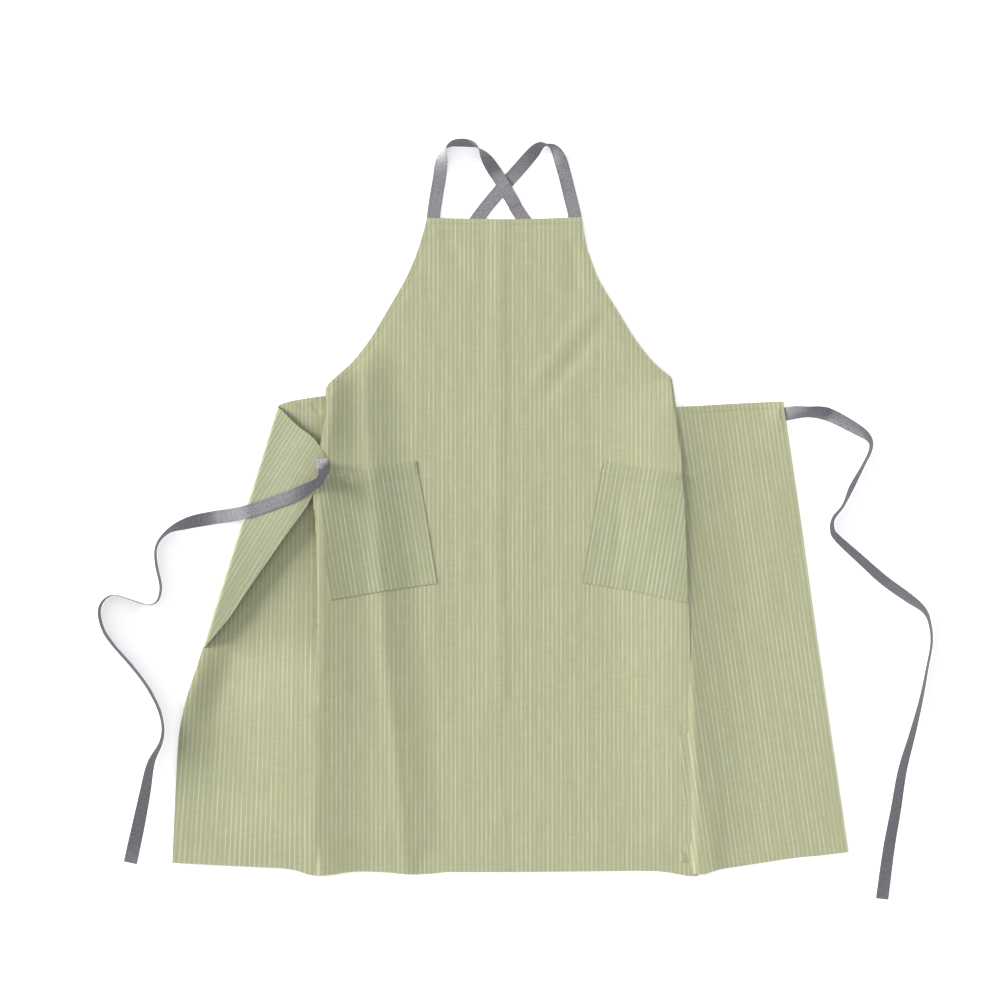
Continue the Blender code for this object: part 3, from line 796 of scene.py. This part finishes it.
def panel_place(points):
    """The side panel falls away from the front's edge, which it comes out from under."""
    out = -nearest(points, RIGHT_EDGE_LINE)[0]
    near = np.clip(1 - np.clip(out, 0, None) / 0.095, 0, 1) ** 2
    low = ease(points[:, 1], -0.34, -0.54)
    height = 0.0010 + (0.0046 - 0.0020 * low) * near - 0.0010 * ease(out, 0.0, -0.012)
    height += 0.0012 * low * np.exp(-((out - 0.020) / 0.020) ** 2)
    height += 0.00018 * ripples(points, 0.060, 12.3) * ease(out, 0.0, 0.05)
    root = np.hypot(points[:, 0] - 0.405, points[:, 1] - 0.141)
    height += 0.0011 * np.exp(-(root / 0.016) ** 2)
    return np.column_stack([points, height])


panel_surface = hem_lift(panel_place, PANEL_HEMS)
panel_grain = turned_grain(PANEL_LEAN)


def across_side_fold(piece):
    """Bakes the piece's placement into its mesh. The direction away from the right side panel's fold is
    worked out but not used.
    """
    away = np.array([SIDE_FOLD[0, 1] - SIDE_FOLD[1, 1], SIDE_FOLD[1, 0] - SIDE_FOLD[0, 0]])
    away /= np.linalg.norm(away)
    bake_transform(piece)


def make_right_side(materials):
    inner = [(0.262, -0.535), (0.252, -0.300), (0.244, -0.100), (0.239, 0.050), (0.236, 0.1505)]
    outline = np.vstack([smooth(PANEL_TOP, 0.02)[::-1][:-1], smooth(inner, 0.03)[::-1][:-1],
                         smooth(PANEL_HEM, 0.01)[::-1], smooth(PANEL_BACK, 0.03)[::-1][1:-1]])
    piece = body_panel("right_side_panel_cloth", outline, panel_surface, panel_grain, PANEL_HEMS,
                       ("side_panel_right",), materials)
    across_side_fold(piece)


# Left corner, turned back over the side panel and the front

CORNER_FOLD = np.array([(-0.349, 0.153), (-0.461, -0.210)])
CORNER_TOP = [(-0.341, 0.146), (-0.330, 0.134), (-0.317, 0.122), (-0.296, 0.106), (-0.284, 0.091),
              (-0.2765, 0.077), (-0.2725, 0.066)]
CORNER_BACK = [(-0.274, 0.045), (-0.284, 0.033), (-0.295, 0.021), (-0.304, 0.003), (-0.343, -0.051),
               (-0.395, -0.126), (-0.421, -0.165), (-0.457, -0.208)]
CORNER_RADIUS = 0.0040    # of the roll in plan
ROLL_BASE = 0.0024


def fold_frame():
    along = CORNER_FOLD[1] - CORNER_FOLD[0]
    length = float(np.linalg.norm(along))
    along = along / length
    return along, np.array([-along[1], along[0]]), length


def corner_flat(points):
    """Plan points of the turned-back corner as flat cut points: length along the fold, and width from it."""
    along, inward, _ = fold_frame()
    away = np.asarray(points, float) - CORNER_FOLD[0]
    width = away @ inward - CORNER_RADIUS + math.pi * CORNER_RADIUS
    return np.column_stack([away @ along, width])


def roll_height(s):
    """Half the height of the roll along the fold, which is fuller towards the fold's lower end."""
    length = fold_frame()[2]
    return (0.0030 + 0.0021 * ease(s, 0.05, 0.30)) * (1 - 0.35 * ease(s, length * 0.93, length))


def corner_height(s, d):
    """Height of the corner's upper side at length s along the fold and distance d from the roll."""
    rise = ease(d, 0.0, 0.085) * (0.0012 + 0.0032 * (1 - ease(s, 0.15, 0.27)))
    bow = 0.0006 * np.sin(np.clip(d / 0.10, 0, 1) * math.pi)
    return ROLL_BASE + 2 * roll_height(s) + rise + bow


def corner_place(flat):
    """The flat cut, rolled half a turn about the fold and laid back over the cloth."""
    along, inward, _ = fold_frame()
    s, a = flat[:, 0], flat[:, 1]
    half = math.pi * CORNER_RADIUS
    turn = np.clip(a / half, 0, 1) * math.pi
    turning = a < half
    d = np.where(turning, CORNER_RADIUS - CORNER_RADIUS * np.sin(turn), a - half + CORNER_RADIUS)
    z = np.where(turning, ROLL_BASE + roll_height(s) * (1 - np.cos(turn)),
                 corner_height(s, np.clip(d - CORNER_RADIUS, 0, None)))
    wobble = 0.00020 * ripples(np.column_stack([s, d]), 0.040, 21.0) * ease(d, 0.004, 0.03)
    plan = CORNER_FOLD[0] + s[:, None] * along + d[:, None] * inward
    return np.column_stack([plan, z + wobble])


def corner_top(x, y):
    """Height of the corner's upper side over a plan point, or 0 beside it."""
    along, inward, _ = fold_frame()
    away = np.array([x, y]) - CORNER_FOLD[0]
    s, d = float(away @ along), float(away @ inward)
    if d < 0:
        return 0.0
    if d < CORNER_RADIUS:
        level = roll_height(s)
        return float(ROLL_BASE + level + level * math.sqrt(1 - (1 - d / CORNER_RADIUS) ** 2))
    return float(corner_height(s, d - CORNER_RADIUS))


def corner_grain(flat):
    """The side panel's own grain, carried round the fold."""
    along, inward, _ = fold_frame()
    mirrored = CORNER_FOLD[0] + flat[:, :1] * along - flat[:, 1:] * inward
    return lean_grain(mirrored)


def corner_outline():
    _, _, length = fold_frame()
    top = corner_flat(smooth(CORNER_TOP, 0.006))
    back = corner_flat(smooth(CORNER_BACK, 0.010))
    return np.vstack([[(0.0010, 0.0), (0.0005, 0.006)], top, back, [(length - 0.001, 0.0075), (length, 0.0)]])


CORNER_TOP_LINE = corner_flat(smooth(CORNER_TOP, 0.01))
CORNER_BACK_LINE = corner_flat(smooth(CORNER_BACK, 0.01))
CORNER_HEMS = [(CORNER_TOP_LINE, EDGE_HEM), (CORNER_BACK_LINE, EDGE_HEM)]
corner_surface = hem_lift(corner_place, CORNER_HEMS)


def bend_corner(piece):
    """Bakes the piece's placement into its mesh."""
    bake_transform(piece)


def make_corner(materials):
    outline = counter_clockwise(corner_outline())
    rings = (0.0007, 0.0018, 0.0035, 0.0065, 0.0094, 0.0106, 0.013)
    piece = sheet("left_corner_cloth", outline, corner_surface, corner_grain,
                  [materials["reverse"], materials["front"]], rings, grid=0.0035,
                  thickness=hem_thickness(CORNER_HEMS))
    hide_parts("side_corner_left")
    bend_corner(piece)


# Pockets

LEFT_POCKET = [(-0.2885, 0.0475), (-0.202, 0.060), (-0.142, 0.071), (-0.127, -0.008), (-0.110, -0.113),
               (-0.188, -0.124), (-0.260, -0.136), (-0.2700, -0.1375)]
RIGHT_POCKET = [(0.137, 0.070), (0.200, 0.0600), (0.2565, 0.052), (0.2605, 0.006), (0.2645, -0.090),
                (0.2655, -0.1425), (0.181, -0.124), (0.106, -0.112), (0.120, -0.030)]
POCKET_MOUTH_DEPTH = 0.020
POCKET_LIFT, MOUTH_LIFT = 0.0006, 0.0004   # over the front, and on top of that at the mouth


def pocket_place(surface, mouth):
    """Places of a pocket that lies on this surface, its mouth a little open."""
    def place(points):
        made = surface(points)
        gap = np.abs(nearest(points, mouth)[0])
        made[:, 2] += POCKET_LIFT + MOUTH_LIFT * (1 - ease(gap, 0.0, 0.030))
        return made
    return place


def make_pocket(node, outline, surface, lean, materials):
    """A patch pocket, whose mouth is its outline's first three points. Returns how it maps flat points."""
    mouth = np.array(outline[:3])
    outline = counter_clockwise(outline)
    hems = [(mouth, POCKET_MOUTH_DEPTH)]
    place = hem_lift(pocket_place(surface, mouth), hems)
    rings = (0.0007, 0.0018, 0.0035, 0.0090, 0.0192, 0.0208)
    piece = sheet(node + "_cloth", outline, place, turned_grain(math.radians(lean)), [materials["pocket"]],
                  rings, thickness=hem_thickness(hems))
    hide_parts(node)
    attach(piece, "apron")
    return place


# Tapes: straps and ties. Routes are x, y, height of the lowest edge, tilt

STRAP_ROOT_Z, IN_PLEAT, OVER_STRAP = 0.0026, 0.0013, 0.00195
ON_CORNER = -1          # stands for the height of the turned-back corner there
ON_CORNER_GAP = 0.0007
STRAP_END_Y, STRAP_ROOT_Y = 0.4400, 0.4393
LEFT_STRAP = [
    (-0.1150, STRAP_END_Y, STRAP_ROOT_Z, 0), (-0.1115, 0.465, 0.0008, 0), (-0.1065, 0.495, 0, 0),
    (-0.1035, 0.518, 0, -20), (-0.0985, 0.536, 0, -78), (-0.088, 0.5448, 0, -106), (-0.074, 0.5468, 0, -118),
    (-0.061, 0.5455, 0, -113), (-0.049, 0.541, 0, -92), (-0.037, 0.525, 0, -38), (-0.027, 0.510, 0, -10),
    (-0.0165, 0.494, 0.0014, 0), (-0.006, 0.476, OVER_STRAP, 0), (0.005, 0.457, 0.0014, 0),
    (0.0150, STRAP_END_Y, 0, 0),
]
RIGHT_STRAP = [
    (0.096, STRAP_END_Y, STRAP_ROOT_Z, 0), (0.090, 0.465, 0.0008, 0), (0.080, 0.505, 0, 0),
    (0.072, 0.528, 0, -30), (0.0635, 0.5395, 0, -66), (0.0545, 0.5435, 0, -90), (0.044, 0.541, 0, -52),
    (0.032, 0.530, 0, -20), (0.009, 0.504, 0, 0), (-0.0055, 0.488, 0, 0), (-0.026, 0.464, 0, 0),
    (-0.0450, STRAP_END_Y, 0, 0),
]
LEFT_STRAP_BEHIND = [
    (0.0165, STRAP_ROOT_Y, 0, 0), (0.075, 0.355, 0, 0), (0.150, 0.245, 0, 0), (0.202, 0.171, 0, 0),
    (0.210, 0.156, IN_PLEAT, 0), (0.2135, 0.136, IN_PLEAT, 0),
]
RIGHT_STRAP_BEHIND = [
    (-0.0435, STRAP_ROOT_Y, 0, 0), (-0.110, 0.350, 0, 0), (-0.195, 0.240, 0, 0), (-0.246, 0.181, 0, 0),
    (-0.254, 0.166, IN_PLEAT, 0), (-0.257, 0.147, IN_PLEAT, 0),
]
LEFT_TIE = [
    (-0.2812, 0.0735, ON_CORNER, 30), (-0.2802, 0.0650, ON_CORNER, 18), (-0.2792, 0.0570, ON_CORNER, -35),
    (-0.2800, 0.0490, ON_CORNER, -50), (-0.2838, 0.0420, ON_CORNER, -52), (-0.2900, 0.0365, ON_CORNER, -46),
    (-0.2976, 0.0323, ON_CORNER, -36), (-0.3051, 0.0285, ON_CORNER, -26), (-0.3276, 0.0173, ON_CORNER, -8),
    (-0.3546, 0.0075, ON_CORNER, 0), (-0.3800, -0.0012, ON_CORNER, 0), (-0.3945, -0.0055, ON_CORNER, 0),
    (-0.4060, -0.0085, 0.0080, 0), (-0.4180, -0.0105, 0.0050, 0), (-0.430, -0.0122, 0.0028, 0),
    (-0.448, -0.015, 0.0008, -2), (-0.481, -0.022, 0, -28), (-0.512, -0.035, 0, -74),
    (-0.529, -0.056, 0, -87), (-0.530, -0.082, 0, -87), (-0.523, -0.118, 0, -87), (-0.529, -0.140, 0, -87),
    (-0.545, -0.144, 0, -87), (-0.571, -0.136, 0, -87), (-0.594, -0.130, 0, -87), (-0.610, -0.140, 0, -87),
    (-0.615, -0.158, 0, -87), (-0.608, -0.184, 0, -87), (-0.593, -0.206, 0, -87), (-0.566, -0.237, 0, -87),
    (-0.544, -0.266, 0, -87), (-0.527, -0.298, 0, -87), (-0.520, -0.326, 0, -87), (-0.523, -0.351, 0, -80),
    (-0.538, -0.382, 0, -62), (-0.547, -0.426, 0, -42), (-0.557, -0.474, 0, -24), (-0.570, -0.532, 0, -6),
]
RIGHT_TIE = [
    (0.4000, 0.1400, 0.0001, 0), (0.4121, 0.1410, 0.0001, 0), (0.428, 0.1435, 0.0001, 20),
    (0.446, 0.144, 0, 38), (0.464, 0.143, 0, 22), (0.482, 0.138, 0, -5), (0.520, 0.117, 0, -30),
    (0.537, 0.103, 0, -56), (0.539, 0.088, 0, -67), (0.528, 0.064, 0, -69), (0.511, 0.032, 0, -60),
    (0.498, 0.004, 0, -71), (0.483, -0.016, 0, -68), (0.482, -0.034, 0, -60), (0.491, -0.047, 0, -52),
    (0.523, -0.076, 0, -44), (0.559, -0.108, 0, -38), (0.595, -0.134, 0, -42), (0.618, -0.152, 0, -60),
    (0.627, -0.171, 0, -68), (0.630, -0.201, 0, -69), (0.623, -0.242, 0, -68), (0.614, -0.288, 0, -62),
    (0.601, -0.340, 0, -50), (0.587, -0.392, 0, -38), (0.577, -0.453, 0, -28), (0.567, -0.510, 0, -20),
    (0.557, -0.586, 0, -12),
]
# A tape's section: side and face, each from -1 to 1. The upper half is the lower one turned round
LOWER_HALF = [(-1.0, -0.35), (-0.985, -0.85), (-0.9, -1.0), (-0.3, -1.0), (0.3, -1.0), (0.9, -1.0),
              (0.985, -0.85), (1.0, -0.35)]
SECTION = LOWER_HALF + [(-side, -face) for side, face in LOWER_HALF]


def tape_frames(route, ply):
    """Centre, across and through vectors along a tape's route, and the length so far."""
    stations = smooth(route, 0.004)
    along = np.gradient(stations[:, :2], axis=0)
    along /= np.maximum(np.linalg.norm(along, axis=1), 1e-9)[:, None]
    sideways = np.column_stack([-along[:, 1], along[:, 0], np.zeros(len(along))])
    angle = np.radians(stations[:, 3])[:, None]
    up = np.array([0.0, 0.0, 1.0])
    across = sideways * np.cos(angle) + up * np.sin(angle)
    through = up * np.cos(angle) - sideways * np.sin(angle)
    lift = TAPE_WIDTH / 2 * np.abs(np.sin(angle)) + ply / 2 * np.abs(np.cos(angle))
    low = np.maximum(stations[:, 2], 0.0002)[:, None]
    centre = np.column_stack([stations[:, :2], low + lift])
    length = np.concatenate([[0], np.cumsum(np.linalg.norm(np.diff(centre, axis=0), axis=1))])
    return centre, across, through, length


def on_corner(route):
    """The same route with its heights on the turned-back corner filled in."""
    return [(x, y, corner_top(x, y) + ON_CORNER_GAP if z == ON_CORNER else z, tilt)
            for x, y, z, tilt in route]


def tape(name, route, materials, ply=TAPE_PLY):
    """A chambray tape with rounded edges, a little uneven, and a row of stitches inside each edge. Returns it
    with its centre line."""
    centre, across, through, length = tape_frames(route, ply)
    points, grain, faces = [], [], []
    for index in range(len(centre)):
        pinch = 1 + 0.012 * noise.noise(Vector((length[index] * 60, 4.0, 1.0)))
        for side, face in SECTION:
            dent = 1 - 0.25 * (abs(abs(side) - 0.80) < 0.12)
            points.append(centre[index] + across[index] * (side * TAPE_WIDTH / 2 * pinch)
                          + through[index] * (face * ply / 2 * dent))
            grain.append((side * TAPE_WIDTH / 2, length[index] + 0.3 * len(name)))
    size, last = len(SECTION), len(centre) - 1
    faces.append(list(range(size)))
    faces.append([last * size + k for k in range(size - 1, -1, -1)])
    for row in range(last):
        for k in range(size):
            a, b = row * size + k, row * size + (k + 1) % size
            faces.append([a, a + size, b + size, b])
    rows = []
    for side in (-1, 1):
        for face in (-1, 1):
            offset = across * (side * (TAPE_WIDTH / 2 - TAPE_SEAM)) + through * (face * (ply / 2 - SUNK))
            rows.append(np.hstack([centre + offset, through * face]))
    stitch_points, stitch_faces = stitch_rows(rows, pitch=0.0031)
    shift = len(points)
    everything = faces + [[i + shift for i in face] for face in stitch_faces]
    marks = [0] * len(faces) + [1] * len(stitch_faces)
    own = np.vstack([np.array(grain), np.zeros((len(stitch_points), 2))])
    return add_mesh(name, np.vstack([points, stitch_points]), everything,
                    [materials["tape"], materials["grey thread"]], own, marks), centre


def make_straps(materials):
    sides = {
        "left": (LEFT_STRAP, LEFT_STRAP_BEHIND, -0.1155),
        "right": (RIGHT_STRAP, RIGHT_STRAP_BEHIND, 0.0970),
    }
    for side, (loop, behind, root_x) in sides.items():
        root = [(root_x, 0.407, 0.0012, 0), (root_x, 0.425, 0.0013, 0)]
        route = [*root, (loop[0][0], 0.4400, 0.0014, 0), *loop[1:-1], (*loop[-1][:2], 0.0004, 0), *behind[1:]]
        piece, centre = tape("shoulder_strap_tape_" + side, route, materials)
        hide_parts("strap_root_" + side, "shoulder_strap_" + side, "strap_behind_bib_" + side)
        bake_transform(piece)


def make_ties(materials):
    left, centre = tape("waist_tie_tape_left", on_corner(LEFT_TIE), materials, TIE_PLY)
    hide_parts("waist_tie_left", "waist_tie_left_root")
    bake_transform(left)
    right, centre = tape("waist_tie_tape_right", RIGHT_TIE, materials, TIE_PLY)
    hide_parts("waist_tie_right")
    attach(right, "right_side")


# Hidden cloth: facings and pleats

FACING_DEPTH = 0.018
FACING_HEIGHT = 0.0011


def band(edge, depth, side):
    """The outline of a strip of this depth along an edge."""
    line = smooth(edge, 0.010)
    return np.vstack([line, beside(line, -side * depth)[::-1]])


def facing_place(points):
    return np.column_stack([points, FACING_HEIGHT + 0.00012 * ripples(points, 0.03, 2.0)])


def make_facings(materials):
    facings = {
        "bib_facing": [(-0.1245, 0.4325), (-0.1360, 0.3930), (0.1140, 0.3930), (0.1065, 0.4325)],
        "armhole_facing_left": band(LEFT_ARMHOLE[2:-1], FACING_DEPTH, 1),
        "armhole_facing_right": band(RIGHT_ARMHOLE[1:], FACING_DEPTH, -1),
    }
    for node, outline in facings.items():
        outline = counter_clockwise(outline)
        piece = sheet(node + "_cloth", outline, facing_place, plain_grain,
                      [materials["reverse"]], (0.0008,), grid=0.006)
        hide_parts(node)
        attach(piece, "apron")


def make_pleat(node, profile, top, bottom, materials):
    """Cloth that turns under the front's side. profile gives the points across it at one y."""
    grid = np.array([profile(y) for y in np.linspace(top, bottom, 60)]).transpose(1, 0, 2)
    count, rows_down = grid.shape[:2]
    points = grid.reshape(-1, 3)
    faces = [(i * rows_down + j, i * rows_down + j + 1, (i + 1) * rows_down + j + 1, (i + 1) * rows_down + j)
             for i in range(count - 1) for j in range(rows_down - 1)]
    triangles = [t for a, b, c, d in faces for t in ((a, b, c), (a, c, d))]
    normals = vertex_normals(points, triangles)
    lower = points - normals * PLY
    gaps = np.linalg.norm(np.diff(grid[:, 0], axis=0), axis=1)
    across = np.concatenate([[0], np.cumsum(gaps)])
    own = np.column_stack([np.repeat(across, rows_down), points[:, 1]])
    piece = add_mesh(node + "_cloth", np.vstack([points, lower]), both_sides(faces, len(points)),
                     [materials["reverse"]], np.vstack([own, own]))
    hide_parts(node)
    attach(piece, "apron")


def pleat_profile(y, outer, inner, low, high):
    """A U of cloth whose two plies end at outer, a lower and an upper point, and turn at inner."""
    middle, radius = (low + high) / 2, (high - low) / 2
    (low_x, low_z), (high_x, high_z) = outer
    toward = math.copysign(1.0, low_x - inner)
    made = [(low_x + (inner - low_x) * t, y, low_z + (low - low_z) * t) for t in np.linspace(0, 0.85, 6)]
    for angle in np.radians(np.linspace(-90, 90, 7)):
        made.append((inner + toward * radius * (1 - math.cos(angle)), y, middle + radius * math.sin(angle)))
    for t in np.linspace(0.15, 1, 9):
        made.append((inner + (high_x - inner) * t, y, high + (high_z - high) * t ** 2.4))
    return made


def left_pleat(y):
    rows = np.array(LEFT_EDGE)[::-1]
    edge = float(np.interp(y, rows[:, 1], rows[:, 0]))
    inner = float(np.interp(y, [-0.300, 0.160], [-0.272, -0.233]))
    top = float(front_height(np.array([[edge, y]]))[0]) - PLY - 0.0009
    return pleat_profile(y, ((edge + 0.0045, 0.0008), (edge + 0.0010, top)), inner, 0.0007, 0.0021)


def right_pleat(y):
    edge = float(np.interp(y, [-0.530, 0.148], [0.272, 0.244]))
    inner = float(np.interp(y, [-0.530, 0.148], [0.256, 0.197]))
    return pleat_profile(y, ((edge, 0.0007), (edge, 0.0022)), inner, 0.0007, 0.0022)


def make_pleats(materials):
    make_pleat("side_pleat_left", left_pleat, 0.160, -0.300, materials)
    make_pleat("side_pleat_right", right_pleat, 0.148, -0.530, materials)


# Stitching on the cloth

HEM_STITCH, EDGE_STITCH = HEM_DEPTH - 0.0008, EDGE_HEM - 0.0008


def make_stitching(materials, left_pocket, right_pocket):
    hem = smooth(LEFT_HEM, 0.01)
    seam = smooth(SEAM, 0.03)
    slit = smooth([SEAM[-1], *SLIT], 0.02)
    armhole_left, armhole_right = smooth(LEFT_ARMHOLE, 0.01), smooth(RIGHT_ARMHOLE, 0.01)
    left_lines = [beside(BIB_LEFT, BIB_HEM), part_line(beside(armhole_left, -0.0060), 0.02, 0.99),
                  part_line(beside(hem, -HEM_STITCH), 0.0, 1.0),
                  [(-0.098, -0.5335), (-0.013, -0.5335)], beside(seam, 0.0030), beside(slit, 0.0045)]
    right_lines = [beside(BIB_RIGHT, BIB_HEM), part_line(beside(armhole_right, 0.0060), 0.02, 0.98),
                   [(0.004, -0.5335), (0.194, -0.5315), (0.226, -0.5325), (0.262, -0.5390)]]
    lines = [on_surface(line, left_surface) for line in left_lines]
    lines += [on_surface(line, right_surface) for line in right_lines]
    for outline, start, place in ((LEFT_POCKET, 2, left_pocket), (RIGHT_POCKET, 5, right_pocket)):
        closed = np.array([*outline[start:], outline[0]])
        run = part_line(beside(spaced(closed, 0.004), 0.0016), 0.01, 0.985)
        lines.append(on_surface(run, place))
    mouth_left = np.array([(-0.262, 0.0313), (-0.197, 0.0400), (-0.1390, 0.0508)])
    mouth_right = np.array([(0.1335, 0.0500), (0.200, 0.0400), (0.2580, 0.0320)])
    lines += [on_surface(mouth_left, left_pocket), on_surface(mouth_right, right_pocket)]
    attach(stitching("front_stitching", lines, materials), "apron")

    top, back, bottom = (line for line, _ in PANEL_HEMS)
    panel_lines = [part_line(beside(top, EDGE_STITCH), 0.22, 0.95),
                   part_line(beside(back, EDGE_STITCH), 0.03, 0.98),
                   part_line(beside(bottom, HEM_STITCH), 0.03, 0.84)]
    panel_lines = [on_surface(line, panel_surface) for line in panel_lines]
    across_side_fold(stitching("side_panel_stitching", panel_lines, materials))

    corner_lines = [part_line(beside(CORNER_TOP_LINE, EDGE_STITCH), 0.06, 0.93),
                    part_line(beside(CORNER_BACK_LINE, EDGE_STITCH), 0.05, 0.90)]
    corner_lines = [on_surface(line, corner_surface) for line in corner_lines]
    bend_corner(stitching("left_corner_stitching", corner_lines, materials))


def bar_tack(name, node, centre, along, length, place, body, material, lift=0.00002):
    """A bar tack: close stitches laid across a short bar on the surface that place maps to."""
    along = np.array(along, float) / np.linalg.norm(along)
    side = np.array([-along[1], along[0]])
    lines = []
    for t in np.arange(-length / 2, length / 2, 0.00045):
        middle = np.array(centre) + along * t
        lines.append(on_surface([middle - side * 0.0011, middle + side * 0.0011], place, lift))
    points, faces = stitch_rows(lines, pitch=0.0021, length=0.0021, radius=0.00018)
    piece = add_mesh(name, points, faces, [material])
    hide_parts(node)
    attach(piece, body)


def level(height):
    """Places at one height."""
    return lambda points: np.column_stack([points, np.full(len(points), height)])


def make_tacks(materials, left_pocket, right_pocket):
    sage, grey = materials["sage thread"], materials["grey thread"]
    bar_tack("slit_bar_tack", "slit_tack", (-0.0140, -0.303), (0.05, 1), 0.008, left_surface, "apron", sage)
    for side, x, place in (("left", -0.1150, left_surface), ("right", 0.0960, right_surface)):
        bar_tack("strap_bar_tack_" + side, f"strap_root_{side}_tack", (x, 0.4245), (1, 0), 0.014, place,
                 "apron", sage, lift=-0.00022)
    mouths = {
        "left": ((-0.272, 0.050), (-0.142, 0.071), (0.015, -0.079), 0.026, left_pocket),
        "right": ((0.257, 0.052), (0.137, 0.070), (-0.010, -0.064), 0.006, right_pocket),
    }
    for side, (outer, inner, down, inset, place) in mouths.items():
        outer, inner, down = np.array(outer), np.array(inner), np.array(down) / np.linalg.norm(down)
        mouth = (inner - outer) / np.linalg.norm(inner - outer)
        for end, corner in (("outer", outer + mouth * inset), ("inner", inner - mouth * 0.0025)):
            bar_tack(f"pocket_bar_tack_{side}_{end}", f"pocket_{side}_tack_{end}", corner + down * 0.0065,
                     down, 0.009, place, "apron", sage)
    tie = level(corner_top(-0.2808, 0.0700) + 0.0040)
    bar_tack("tie_bar_tack_left", "waist_tie_left_tack", (-0.2808, 0.0705), (1, 0.1), 0.012, tie,
             "left_corner", grey)
    bar_tack("tie_bar_tack_right", "waist_tie_right_tack", (0.4035, 0.1405), (0.12, -1), 0.016, panel_surface,
             "right_side", sage)


def main():
    make_camera()
    make_studio()
    materials = make_materials()
    make_ties(materials)
    make_straps(materials)
    make_front_left(materials)
    make_front_right(materials)
    make_right_side(materials)
    make_corner(materials)
    left_pocket = make_pocket("pocket_left", LEFT_POCKET, left_surface, 9.0, materials)
    right_pocket = make_pocket("pocket_right", RIGHT_POCKET, right_surface, -9.5, materials)
    make_facings(materials)
    make_pleats(materials)
    make_stitching(materials, left_pocket, right_pocket)
    make_tacks(materials, left_pocket, right_pocket)


main()
